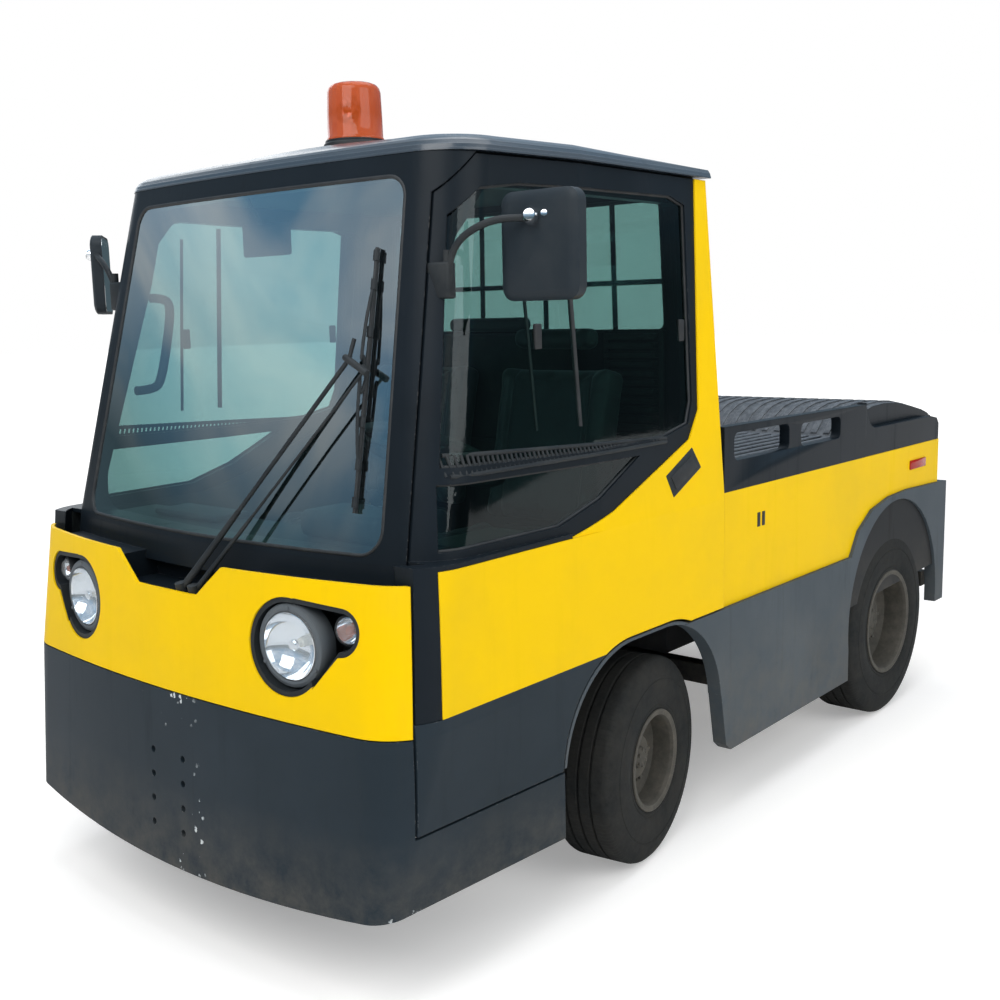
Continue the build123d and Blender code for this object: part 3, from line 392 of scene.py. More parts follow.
def painted(name, colour, faded, gloss, peel_mm, dirt, dust_colour, dust_top, wear=0.5, chips=(), coat=0.0,
            shine=0.22):
    """Paint sprayed on sheet steel: fades in patches, streaks where water ran, dust low down, worn edges."""
    tree = new_finish(name)
    where = add(tree, "TexCoord").outputs["Object"]
    soft, edge = eased_edges(tree, 3.0)
    patches = ramp(tree, grain(tree, where, 420, 5.0, 0.6), 0.42, 0.68)
    shade = blend_colour(tree, times(tree, patches, 0.55), rgba(colour), rgba(faded))
    streaks = ramp(tree, grain(tree, where, 60, 6.0, 0.7, (1.0, 1.0, 0.06)), 0.55, 0.8)
    grime = blend_colour(tree, times(tree, streaks, dirt), shade, (0.05, 0.045, 0.035, 1))
    height = add(tree, "SeparateXYZ", {0: where}).outputs["Z"]
    low = times(tree, ramp(tree, height, dust_top / 1000, 0.1), ramp(tree, grain(tree, where, 90, 7.0, 0.7), 0.35, 0.7))
    dusty = blend_colour(tree, times(tree, low, 0.5), grime, rgba(dust_colour))
    scrape = ramp(tree, grain(tree, where, 14, 4.0, 0.7), 0.55, 0.62)
    worn = times(tree, times(tree, edge, scrape), wear)
    final = blend_colour(tree, worn, dusty, (0.32, 0.33, 0.33, 1))
    if chips:
        flake = add(tree, "TexVoronoi", {"Vector": where, "Scale": 1000 / 26.0}).outputs["Distance"]
        ragged = add(tree, "Math", {0: flake, 1: times(tree, grain(tree, where, 6.0, 3.0), 0.5)},
                     operation="ADD").outputs[0]
        marks = ramp(tree, ragged, 0.46, 0.42)
        places = None
        for centre, reach in chips:
            here = spot(tree, where, centre, reach)
            places = here if places is None else larger(tree, places, here)
        marks = times(tree, marks, places)
        final = blend_colour(tree, marks, final, rgba(srgb("#C9D0D2")))
    peel = grain(tree, where, peel_mm, 2.0)
    bump = add(tree, "Bump", {"Height": peel, "Strength": 0.12, "Distance": 0.0004, "Normal": soft}).outputs[0]
    rough = add(tree, "MapRange", {0: larger(tree, streaks, low), 1: 0.0, 2: 1.0, 3: gloss, 4: gloss + 0.25}).outputs[0]
    shaded(tree, final, rough, bump, Coat_Weight=coat, Coat_Roughness=0.2, Coat_IOR=1.9,
           Specular_IOR_Level=shine, IOR=1.5)


def moulded(name, colour, roughness, grain_mm, depth=0.3, dust=0.15):
    """Plastic moulded in a textured tool: an even dark colour with a fine leathery grain."""
    tree = new_finish(name)
    where = add(tree, "TexCoord").outputs["Object"]
    cells = add(tree, "TexVoronoi", {"Vector": where, "Scale": 1000 / grain_mm}, feature="DISTANCE_TO_EDGE").outputs[0]
    bump = add(tree, "Bump", {"Height": cells, "Strength": depth, "Distance": 0.0004}).outputs[0]
    haze = ramp(tree, grain(tree, where, 120, 5.0, 0.65), 0.4, 0.75)
    shade = blend_colour(tree, times(tree, haze, dust), rgba(colour), rgba(srgb("#6E6F6C")))
    rough = add(tree, "MapRange", {0: haze, 1: 0.0, 2: 1.0, 3: roughness, 4: roughness + 0.15}).outputs[0]
    shaded(tree, shade, rough, bump, Specular_IOR_Level=0.25, IOR=1.5)


def window_glass(name, through, mirror, least=0.0):
    """Tinted toughened float glass: lets light through unbent and mirrors more at a slant."""
    tree = new_finish(name)
    facing = add(tree, "Fresnel", {"IOR": 1.52}).outputs[0]
    outer = add(tree, "Math", {0: facing, 1: mirror, 2: least}, operation="MULTIPLY_ADD", use_clamp=True).outputs[0]
    share = times(tree, outer, ramp(tree, add(tree, "NewGeometry").outputs["Backfacing"], 0.0, 1.0, 1.0, 0.0))
    # each of a pane's two faces lets half of the tint through
    clear = add(tree, "BsdfTransparent", {"Color": rgba([c ** 0.5 for c in through])}).outputs[0]
    where = add(tree, "TexCoord").outputs["Object"]
    smear = ramp(tree, grain(tree, where, 160, 4.0, 0.6), 0.35, 0.75, 0.01, 0.09)
    mirror_face = add(tree, "BsdfGlossy", {"Color": (0.88, 0.97, 1.0, 1), "Roughness": smear}).outputs[0]
    mixed = add(tree, "MixShader", {0: share, 1: clear, 2: mirror_face}).outputs[0]
    add(tree, "OutputMaterial", {"Surface": mixed})


def tyre_rubber(colours):
    """Carbon-black rubber, matt, with road dust rubbed into the sidewalls and fine nicks in the tread."""
    tree = new_finish("tyre rubber")
    where = add(tree, "TexCoord").outputs["Object"]
    across = add(tree, "SeparateXYZ", {0: add(tree, "UVMap", uv_map="Tread").outputs[0]})
    nick = add(tree, "Math", {0: across.outputs["X"], 1: 1000 / 14.0}, operation="MULTIPLY").outputs[0]
    nick = add(tree, "Math", {0: nick}, operation="FRACT").outputs[0]
    nick = ramp(tree, nick, 0.72, 0.82)
    shoulder = ramp(tree, add(tree, "Math", {0: across.outputs["Y"]}, operation="ABSOLUTE").outputs[0], 0.0, 1.0)
    nick = times(tree, nick, ramp(tree, shoulder, 0.5, 0.2))
    scuff = ramp(tree, grain(tree, where, 24, 8.0, 0.7), 0.35, 0.7)
    brown = ramp(tree, grain(tree, where, 150, 6.0, 0.65), 0.35, 0.7)
    shade = blend_colour(tree, times(tree, scuff, 0.45), rgba(colours.rubber), rgba(srgb("#343634")))
    shade = blend_colour(tree, times(tree, brown, 0.35), shade, rgba(srgb("#3E3B36")))
    height = add(tree, "Math", {0: grain(tree, where, 3.0, 6.0, 0.7), 1: times(tree, nick, -2.0)}, operation="ADD")
    bump = add(tree, "Bump", {"Height": height.outputs[0], "Strength": 0.35, "Distance": 0.0012}).outputs[0]
    shaded(tree, shade, 0.85, bump, Specular_IOR_Level=0.2, IOR=1.5)


def dusty_wheel(colours):
    """Grey enamel of a wheel disc under brake and road dust."""
    tree = new_finish("wheel enamel")
    where = add(tree, "TexCoord").outputs["Object"]
    soft, edge = eased_edges(tree, 4.0)
    dust = ramp(tree, grain(tree, where, 35, 8.0, 0.7), 0.35, 0.7)
    shade = blend_colour(tree, times(tree, dust, 0.6), rgba(colours.rim), rgba(srgb("#67625A")))
    shade = blend_colour(tree, times(tree, edge, 0.35), shade, rgba(srgb("#8B8780")))
    bump = add(tree, "Bump", {"Height": grain(tree, where, 4.0, 6.0), "Strength": 0.25, "Distance": 0.0008,
                              "Normal": soft}).outputs[0]
    shaded(tree, shade, 0.72, bump, Specular_IOR_Level=0.25, IOR=1.5)


def seat_vinyl(colours):
    """Embossed vinyl-coated cloth: pebbled grain, a soft sheen, paler where it is sat on."""
    tree = new_finish("seat vinyl")
    where = add(tree, "TexCoord").outputs["Object"]
    # real pebbles are about 1 mm; drawn at 2.4 mm so that they show
    pebbles = add(tree, "TexVoronoi", {"Vector": where, "Scale": 1000 / 2.4}).outputs["Distance"]
    bump = add(tree, "Bump", {"Height": pebbles, "Strength": 0.25, "Distance": 0.0005}).outputs[0]
    rub = ramp(tree, grain(tree, where, 140, 5.0, 0.6), 0.4, 0.7)
    shade = blend_colour(tree, times(tree, rub, 0.4), rgba(colours.vinyl), rgba(srgb("#4A5356")))
    shaded(tree, shade, 0.48, bump, IOR=1.48, Sheen_Weight=0.15)


def worn_deck(colours):
    """Deck plates: old grey paint trodden off pressed steel, with grime in the hollows."""
    tree = new_finish("trodden deck plate")
    where = add(tree, "TexCoord").outputs["Object"]
    soft, edge = eased_edges(tree, 3.0)
    bare = ramp(tree, grain(tree, where, 26, 8.0, 0.75), 0.42, 0.58)
    shade = blend_colour(tree, bare, rgba(srgb("#4B5056")), rgba(colours.deck))
    rust = ramp(tree, grain(tree, where, 45, 6.0, 0.7), 0.62, 0.75)
    shade = blend_colour(tree, times(tree, rust, 0.35), shade, rgba(srgb("#6B5A4C")))
    shade = blend_colour(tree, times(tree, edge, 0.6), shade, rgba(srgb("#8F9498")))
    bump = add(tree, "Bump", {"Height": bare, "Strength": 0.3, "Distance": 0.0005, "Normal": soft}).outputs[0]
    shaded(tree, shade, 0.6, bump, Metallic=0.1, Specular_IOR_Level=0.3)


def plain_finishes():
    """Small parts: each its real substance and making."""
    # chrome-plated pressed steel: a bright mirror with a faint haze
    tree = new_finish("chrome plate")
    where = add(tree, "TexCoord").outputs["Object"]
    haze = ramp(tree, grain(tree, where, 30, 4.0), 0.3, 0.8, 0.06, 0.22)
    shaded(tree, (0.86, 0.87, 0.89, 1), haze, Metallic=1.0)
    # vapour-coated reflector: mirror facets
    tree = new_finish("lamp reflector")
    where = add(tree, "TexCoord").outputs["Object"]
    facets = add(tree, "TexVoronoi", {"Vector": where, "Scale": 1000 / 16.0}).outputs["Color"]
    bump = add(tree, "Bump", {"Height": facets, "Strength": 0.25, "Distance": 0.002}).outputs[0]
    shaded(tree, (0.93, 0.94, 0.96, 1), 0.08, bump, Metallic=1.0)
    # natural black rubber, extruded: matt, with a bloom of dust
    tree = new_finish("seal rubber")
    where = add(tree, "TexCoord").outputs["Object"]
    bloom = ramp(tree, grain(tree, where, 50, 6.0, 0.7), 0.4, 0.75)
    shade = blend_colour(tree, times(tree, bloom, 0.25), rgba(srgb("#14171A")), rgba(srgb("#4A4C4C")))
    shaded(tree, shade, 0.6, IOR=1.5)
    # silvered flat glass of a driving mirror
    tree = new_finish("mirror glass")
    where = add(tree, "TexCoord").outputs["Object"]
    film = ramp(tree, grain(tree, where, 40, 5.0), 0.3, 0.8, 0.02, 0.12)
    shaded(tree, (0.8, 0.83, 0.85, 1), film, Metallic=1.0)
    # filament and bulb glass
    tree = new_finish("bulb glass")
    where = add(tree, "TexCoord").outputs["Object"]
    glow = ramp(tree, grain(tree, where, 20, 3.0), 0.3, 0.7, 0.05, 0.15)
    shaded(tree, (0.9, 0.88, 0.8, 1), glow, IOR=1.5)


def cast_lens(name, colour, alpha, flute_mm, rough=0.06):
    """Moulded acrylic lens: clear colour with flutes inside and a glossy skin."""
    tree = new_finish(name)
    where = add(tree, "TexCoord").outputs["Object"]
    flutes = add(tree, "TexWave", {"Vector": where, "Scale": 1000 / flute_mm / 6.283, "Distortion": 0.4},
                 bands_direction="Y").outputs[1]
    bump = add(tree, "Bump", {"Height": flutes, "Strength": 0.35, "Distance": 0.001}).outputs[0]
    body = add(tree, "BsdfPrincipled", {"Base Color": rgba(colour), "Roughness": rough, "IOR": 1.49,
                                        "Normal": bump}).outputs[0]
    clear = add(tree, "BsdfTransparent", {"Color": rgba([0.35 + 0.65 * c for c in colour])}).outputs[0]
    mixed = add(tree, "MixShader", {0: alpha, 1: clear, 2: body}).outputs[0]
    add(tree, "OutputMaterial", {"Surface": mixed})


# where couplings and kerbs have chipped the front plate: place and reach in millimetres
CHIPPED = (((1040, 10, 600), (90, 120, 60)), ((1045, 118, 330), (60, 26, 150)), ((1050, 90, 215), (60, 70, 30)),
           ((960, 735, 215), (70, 60, 40)))


class TUG_OT_finishes(bpy.types.Operator):
    """Make every finish from the colour settings"""
    bl_idname = "tug.finishes"
    bl_label = "Finishes"

    def execute(self, context):
        c = context.scene.tug_colours
        dust = c.dust
        # stoving enamel on sheet steel: glossy once, now chalky in patches
        painted("yellow enamel", c.yellow, c.yellow_faded, 0.42, 2.5, 0.05, dust, 620, 0.25, shine=0.06)
        # polyester powder coat: satin with fine orange peel, chipped by couplings at the front plate
        painted("anthracite powder coat", c.anthracite, srgb("#28333C"), 0.46, 1.6, 0.12, dust, 420, 0.45, shine=0.15,
                chips=CHIPPED)
        painted("cab powder coat", c.cab_black, srgb("#1A222A"), 0.38, 1.6, 0.05, dust, 200, 0.2, shine=0.12)
        # anthracite gel coat over glass fibre: smooth and bright against the sky
        painted("roof gel coat", srgb("#2B353F"), srgb("#36414B"), 0.34, 3.0, 0.03, dust, 200, 0.1, coat=0.3, shine=0.3)
        # thick chassis enamel on skirts: grey from scuffing and road film
        painted("scuffed skirt enamel", c.worn_grey, srgb("#535B61"), 0.55, 2.0, 0.3, dust, 620, 0.6)
        painted("chassis enamel", c.black, srgb("#26282A"), 0.6, 2.0, 0.3, dust, 700, 0.3)
        moulded("moulded black plastic", srgb("#1E2327"), 0.5, 1.4)
        moulded("mirror shell plastic", srgb("#1D262D"), 0.45, 1.2, 0.15, 0.06)
        moulded("lamp bezel plastic", srgb("#555C62"), 0.5, 1.2, 0.15, 0.2)
        moulded("cab trim plastic", c.interior, 0.6, 2.0, 0.35, 0.25)
        moulded("battery case", srgb("#3A3C3E"), 0.6, 3.0)
        window_glass("windscreen glass", srgb("#CFE8EB"), 2.6, 0.17)
        window_glass("door glass", srgb("#86A8A0"), 0.65)
        tyre_rubber(c)
        dusty_wheel(c)
        seat_vinyl(c)
        worn_deck(c)
        plain_finishes()
        cast_lens("clear lens", (0.85, 0.88, 0.9), 0.12, 7.0)
        cast_lens("amber dome", c.amber, 0.6, 9.0)
        cast_lens("red lens", srgb("#B01812"), 0.8, 5.0)
        return {"FINISHED"}


# finish of each frame node that shows as it is
DRESS = {
    "yellow enamel": ("front_cowl", "door_skin_left", "door_skin_right", "rear_body"),
    "anthracite powder coat": ("front_bumper", "door_panel_left", "door_panel_right"),
    "cab powder coat": ("cab_frame", "door_frame_left", "door_frame_right", "rear_wall", "deck_rails"),
    "scuffed skirt enamel": ("side_skirts",),
    "chassis enamel": ("chassis_frame", "front_axle", "rear_axle", "knuckle_left", "knuckle_right", "tow_coupling"),
    "moulded black plastic": ("lamp_housings", "beacon_base"),
    "cab trim plastic": ("cab_floor", "dashboard", "steering_wheel"),
    "battery case": ("battery",),
    "trodden deck plate": ("deck_lid",),
    "windscreen glass": ("cab_glass",),
    "roof gel coat": ("roof",),
    "door glass": ("door_glass_left", "door_glass_right"),
    "wheel enamel": ("front_left_rim", "front_right_rim", "rear_left_rim", "rear_right_rim"),
    "tyre rubber": ("front_left_tyre", "front_right_tyre", "rear_left_tyre", "rear_right_tyre"),
    "clear lens": ("lamp_lenses",),
    "amber dome": ("beacon_dome",),
    "mirror shell plastic": ("mirror_left", "mirror_right"),
    "seal rubber": ("wiper",),
    "seat vinyl": ("seat_cushions", "seat_backs"),
}


class TUG_OT_dress(bpy.types.Operator):
    """Give each frame node its finish"""
    bl_idname = "tug.dress"
    bl_label = "Dress the frame"

    def execute(self, context):
        for finish, names in DRESS.items():
            for name in names:
                slots = NODES[name].data.materials
                slots.clear()
                slots.append(bpy.data.materials[finish])
        return {"FINISHED"}


# ---- cab shell and rails ------------------------------------------------------------
# half width and rise of the roof's crown in metres, and where it is highest
ROOF_HALF, ROOF_CROWN, ROOF_MIDDLE = 0.687, 0.038, 150
REAR_WINDOW = ((-560, 1467), (560, 1467), (540, 1845), (-540, 1845))
GUARD_BARS = (-424, -159, 106, 371)
GUARD_RAIL = 1610
RAIL_DROP, RAIL_LOW, RAIL_TOP, RAIL_SWEEP = -1372, 1096, 1190, 94


def rounded(corners, radius, steps=6):
    """Outline with its corners rounded, as points to pass through."""
    points = []
    for i, corner in enumerate(corners):
        here = Vector(corner)
        before, after = Vector(corners[i - 1]), Vector(corners[(i + 1) % len(corners)])
        start, end = here + (before - here).normalized() * radius, here + (after - here).normalized() * radius
        for k in range(steps + 1):
            t = k / steps
            points.append(start.lerp(here, t).lerp(here.lerp(end, t), t))
    return points


def ringed_plate(outside, inside, low_x, high_x):
    """Plate across the vehicle between an outline and the window in it, from one X to another."""
    bm = bmesh.new()
    edges = []
    for outline in (outside, inside):
        ring = [bm.verts.new(at(low_x, y, z)) for y, z in outline]
        edges += [bm.edges.new(pair) for pair in zip(ring, ring[1:] + ring[:1])]
    bmesh.ops.triangle_fill(bm, use_beauty=True, use_dissolve=False, edges=edges)
    grown = bmesh.ops.extrude_face_region(bm, geom=bm.faces[:])["geom"]
    bmesh.ops.translate(bm, vec=mm(high_x - low_x, 0, 0), verts=[v for v in grown if isinstance(v, bmesh.types.BMVert)])
    return bm


class TUG_OT_shell(bpy.types.Operator):
    """Build the crowned roof, the rear wall with its guard bars and the flat panes"""
    bl_idname = "tug.shell"
    bl_label = "Cab shell"

    def execute(self, context):
        self.roof()
        self.rear_wall()
        self.panes()
        return {"FINISHED"}

    def roof(self):
        low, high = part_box("roof")
        ring = max(facing_loops("roof", Vector((0, 0, -1)), 0.9), key=len)
        bm = bmesh.new()
        face = bm.faces.new([bm.verts.new(p) for p in ring])
        half, length = (high.y - low.y) / 2, high.x - low.x
        ball = (ROOF_HALF ** 2 + ROOF_CROWN ** 2) / (2 * ROOF_CROWN)
        drawn = 0.0
        # height above the seat and distance drawn in from the edge, then rings up the crown
        steps = [(5, 1), (14, 4), (23, 10), (31, 19), (37, 31), (42, 47), (46, 68)]
        steps += [(None, 68 + 104 * k) for k in range(1, 6)]
        for rise, inset in steps:
            grown = bmesh.ops.extrude_face_region(bm, geom=[face])["geom"]
            face = [f for f in grown if isinstance(f, bmesh.types.BMFace)][0]
            new = inset / 1000
            sides = (half - new) / (half - drawn)
            ahead = (length - new) / (length - drawn)
            for vertex in face.verts:
                co = vertex.co
                co.y *= sides
                co.x = low.x + (co.x - low.x) * ahead
                crown = high.z - ball + math.sqrt(ball ** 2 - (co.x - at(ROOF_MIDDLE, 0, 0).x) ** 2 - co.y ** 2)
                co.z = crown if rise is None else min(crown, low.z + rise / 1000)
            drawn = new
        bmesh.ops.poke(bm, faces=[face])
        made = piece("roof_shell", bm, "roof gel coat", "chassis", 40)
        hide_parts("roof")

    def rear_wall(self):
        outside = max(facing_loops("rear_wall", Vector((-1, 0, 0)), 0.9),
                      key=lambda loop: max(p.y for p in loop) - min(p.z for p in loop))
        outside = [(p.y * 1000, p.z * 1000) for p in outside]
        wall = ringed_plate(outside, rounded(REAR_WINDOW, 28), -360, -350)
        wide = ((-596, 1431), (596, 1431), (576, 1881), (-576, 1881))
        join(wall, ringed_plate(rounded(wide, 40), rounded(REAR_WINDOW, 28), -374, -359))
        for y in GUARD_BARS:
            join(wall, bar(at(-368, y, 1460), at(-368, y * 0.97, 1850), 8, 12))
        join(wall, bar(at(-368, -562, GUARD_RAIL), at(-368, 562, GUARD_RAIL), 8, 12))
        made = piece("rear_wall_panel", wall, "cab powder coat", "chassis")
        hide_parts("rear_wall")

    def panes(self):
        bm = bmesh.new()
        bm.from_mesh(NODES["cab_glass"].data)
        bmesh.ops.remove_doubles(bm, verts=bm.verts, dist=1e-5)
        behind = [v for v in bm.verts if v.co.x < at(0, 0, 0).x]
        bmesh.ops.delete(bm, geom=behind, context="VERTS")
        rear = bmesh.new()
        face = rear.faces.new([rear.verts.new(at(-357, y, z)) for y, z in rounded(REAR_WINDOW, 28)])
        grown = bmesh.ops.extrude_face_region(rear, geom=[face])["geom"]
        bmesh.ops.translate(rear, vec=mm(6, 0, 0), verts=[v for v in grown if isinstance(v, bmesh.types.BMVert)])
        join(bm, rear)
        made = piece("cab_panes", bm, "windscreen glass", "chassis")
        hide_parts("cab_glass")


class TUG_OT_rails(bpy.types.Operator):
    """Build the side rails with their rear sweep, and the crowned slatted cover between them"""
    bl_idname = "tug.rails"
    bl_label = "Rails"

    def execute(self, context):
        bm = bmesh.new()
        bm.from_mesh(NODES["deck_rails"].data)
        bmesh.ops.remove_doubles(bm, verts=bm.verts, dist=1e-5)
        cut = bmesh.ops.bisect_plane(bm, geom=bm.verts[:] + bm.edges[:] + bm.faces[:], plane_co=at(RAIL_DROP, 0, 0),
                                     plane_no=(-1, 0, 0), clear_outer=True)["geom_cut"]
        bmesh.ops.holes_fill(bm, edges=[e for e in cut if isinstance(e, bmesh.types.BMEdge)], sides=0)
        sweep = [(RAIL_DROP - RAIL_SWEEP * (1 - math.cos(a)), RAIL_TOP - RAIL_SWEEP * math.sin(a))
                 for a in (math.radians(9 * k) for k in range(11))]
        outline = [(RAIL_DROP, 999)] + sweep + [(-1990, 1096), (-2062, 1084), (-2084, 1060), (-2084, 999)]
        for sign in (1, -1):
            rail = bmesh.new()
            face = rail.faces.new([rail.verts.new(at(x, 711 * sign, z)) for x, z in outline])
            grown = bmesh.ops.extrude_face_region(rail, geom=[face])["geom"]
            bmesh.ops.translate(rail, vec=mm(0, 34 * sign, 0),
                                verts=[v for v in grown if isinstance(v, bmesh.types.BMVert)])
            join(bm, rail)
        made = piece("deck_side_rails", bm, "cab powder coat", "chassis", 30)
        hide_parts("deck_rails")
        self.cover(context.scene.tug_sizes.slat * 1000)
        return {"FINISHED"}

    def cover(self, pitch):
        """Crowned cover: a sheet that rises behind the lid and falls to the tail, with slats along it."""
        line = ((-1292, 1060), (-1310, 1078), (-1372, 1128), (-1440, 1156), (-1510, 1168), (-1610, 1172), (-1726, 1166),
                (-1860, 1146), (-1985, 1122), (-2051, 1104), (-2078, 1088), (-2082, 1000))
        bm = bmesh.new()
        ring = [bm.verts.new(at(x, -709, z)) for x, z in line]
        edges = [bm.edges.new(pair) for pair in zip(ring, ring[1:])]
        grown = bmesh.ops.extrude_edge_only(bm, edges=edges)["geom"]
        bmesh.ops.translate(bm, vec=mm(0, 1418, 0), verts=[v for v in grown if isinstance(v, bmesh.types.BMVert)])
        bmesh.ops.solidify(bm, geom=bm.faces[:], thickness=0.004)
        count = int(1380 / pitch)
        for i in range(count + 1):
            y = (i - count / 2) * pitch
            slat = bmesh.new()
            foot = [slat.verts.new(at(x, y - 11, z - 2)) for x, z in line[1:-1]]
            edges = [slat.edges.new(pair) for pair in zip(foot, foot[1:])]
            grown = bmesh.ops.extrude_edge_only(slat, edges=edges)["geom"]
            bmesh.ops.translate(slat, vec=mm(0, 22, 0), verts=[v for v in grown if isinstance(v, bmesh.types.BMVert)])
            top = bmesh.ops.extrude_face_region(slat, geom=slat.faces[:])["geom"]
            bmesh.ops.translate(slat, vec=mm(0, 0, 9), verts=[v for v in top if isinstance(v, bmesh.types.BMVert)])
            join(bm, slat)
        piece("rear_deck_cover", bm, "trodden deck plate", "chassis", 30)
        cheeks = bmesh.new()
        for sign in (1, -1):
            cheek = bmesh.new()
            outline = [(-1292, 999)] + [(x, z - 1) for x, z in line[:-1]] + [(-2081, 999)]
            face = cheek.faces.new([cheek.verts.new(at(x, 702 * sign, z)) for x, z in outline])
            grown = bmesh.ops.extrude_face_region(cheek, geom=[face])["geom"]
            bmesh.ops.translate(cheek, vec=mm(0, 8.5 * sign, 0),
                                verts=[v for v in grown if isinstance(v, bmesh.types.BMVert)])
            join(cheeks, cheek)
        tail = slab((-2086, -710, 999), (-2080, 710, 1092), 2)
        join(cheeks, tail)
        piece("rear_cover_cheeks", cheeks, "cab powder coat", "chassis", 30)


# ---- wheels ---------------------------------------------------------------------
def tyre_profile(radius, half, bead, grooves, width, depth):
    """Section of a tyre from the inner bead over the tread to the outer one: radius, place across."""
    side = [(bead, -half + 14), (bead + 9, -half + 6), (bead + 22, -half + 3), (bead + 26, -half + 4.5),
            (bead + 30, -half + 2), (radius * 0.72, -half - 0.0), (radius * 0.78, -half + 0.5),
            (radius * 0.785, -half + 2.0), (radius * 0.80, -half + 2.0), (radius * 0.805, -half + 0.6),
            (radius * 0.88, -half + 3.0), (radius - 22, -half + 7), (radius - 10, -half + 13),
            (radius - 3, -half + 20), (radius - 0.5, -half + 28)]
    points = list(side)
    for y in grooves:
        points += [(radius, y - width / 2 - 1.5), (radius - 1.2, y - width / 2), (radius - depth, y - width / 3),
                   (radius - depth, y + width / 3), (radius - 1.2, y + width / 2), (radius, y + width / 2 + 1.5)]
    return points + [(r, -y) for r, y in reversed(side)]


# joint, wheel, radius, half width, bead radius, groove places, nuts, pitch circle and height of the disc
WHEELS = (
    ("front_left_wheel", "front_left", 289.0, 95.0, 131.0, (-36.0, 0.0, 36.0), 5, 47.0, 42.0),
    ("front_right_wheel", "front_right", 289.0, 95.0, 131.0, (-36.0, 0.0, 36.0), 5, 47.0, 42.0),
    ("rear_left_wheel", "rear_left", 348.5, 100.0, 183.0, (-40.0, 0.0, 40.0), 6, 68.0, 24.0),
    ("rear_right_wheel", "rear_right", 348.5, 100.0, 183.0, (-40.0, 0.0, 40.0), 6, 68.0, 24.0),
)


def body_of(node):
    """The body that carries a frame node."""
    for body, members in frame["record"]["behaviour"]["bodies"].items():
        if node in members:
            return body
    raise RuntimeError("no body holds " + node)


class TUG_OT_tyres(bpy.types.Operator):
    """Turn the four tyres with their tread"""
    bl_idname = "tug.tyres"
    bl_label = "Tyres"

    def execute(self, context):
        sizes = context.scene.tug_sizes
        for joint, name, radius, half, bead, grooves, _, _, _ in WHEELS:
            profile = tyre_profile(radius, half, bead, grooves, sizes.groove * 1000, sizes.groove_depth * 1000)
            bm = turned(profile, 96)
            layer = bm.loops.layers.uv.new("Tread")
            for face in bm.faces:
                middle = face.calc_center_median()
                turn = math.atan2(middle.y, middle.x)
                for loop in face.loops:
                    co = loop.vert.co
                    angle = math.atan2(co.y, co.x)
                    angle += 2 * math.pi if turn - angle > math.pi else -2 * math.pi if angle - turn > math.pi else 0
                    on_tread = math.hypot(co.x, co.y) > radius / 1000 - 0.012
                    loop[layer].uv = (angle * radius / 1000, 0.0 if on_tread else 1.0)
            bmesh.ops.transform(bm, matrix=axle_frame(joint), verts=bm.verts)
            made = piece(name + "_tyre_rubber", bm, "tyre rubber", body_of(name + "_tyre"), 30)
            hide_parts(name + "_tyre")
        return {"FINISHED"}


class TUG_OT_wheels(bpy.types.Operator):
    """Fit nuts and hub caps to the wheels"""
    bl_idname = "tug.wheels"
    bl_label = "Wheel fittings"

    def execute(self, context):
        nut = context.scene.tug_sizes.nut * 1000
        for joint, name, _, _, _, _, count, circle, disc in WHEELS:
            place = axle_frame(joint)
            bm = bmesh.new()
            for i in range(count):
                angle = 2 * math.pi * i / count
                spot_at = Matrix.Rotation(angle, 4, "Z") @ Matrix.Translation(mm(circle + 24, 0, disc - 36))
                join(bm, turned([(0, 24), (nut * 0.5, 24), (nut * 0.56, 20), (nut * 0.56, 5), (nut * 0.72, 4),
                                 (nut * 0.72, 0)], 6), spot_at)
                join(bm, turned([(0, 33), (6, 33), (7, 31), (7, 22)], 12), spot_at)
            bmesh.ops.transform(bm, matrix=place, verts=bm.verts)
            piece(name + "_wheel_nuts", bm, "wheel enamel", body_of(name + "_rim"))
            cap = turned([(0, disc + 12), (circle * 0.45, disc + 11), (circle * 0.62, disc + 6),
                          (circle * 0.68, disc - 2), (circle * 0.68, disc - 30)], 40)
            for i in range(6):
                angle = 2 * math.pi * (i + 0.5) / 6
                join(cap, turned([(0, disc + 14), (5, disc + 14), (5.5, disc + 12), (5.5, disc)], 6),
                     Matrix.Translation((math.cos(angle) * circle * 0.00048, math.sin(angle) * circle * 0.00048, 0)))
            bmesh.ops.transform(cap, matrix=place, verts=cap.verts)
            piece(name + "_hub_cap", cap, "wheel enamel", body_of(name + "_rim"))
        return {"FINISHED"}


# ---- lamps -----------------------------------------------------------------------
def lamp_place(x, y, z, lean, side):
    """Matrix of a front lamp, local Z forward."""
    lean = math.radians(lean) * side
    forward = Vector((math.cos(lean), math.sin(lean), 0))
    return seated(at(x, y * side, z), forward)


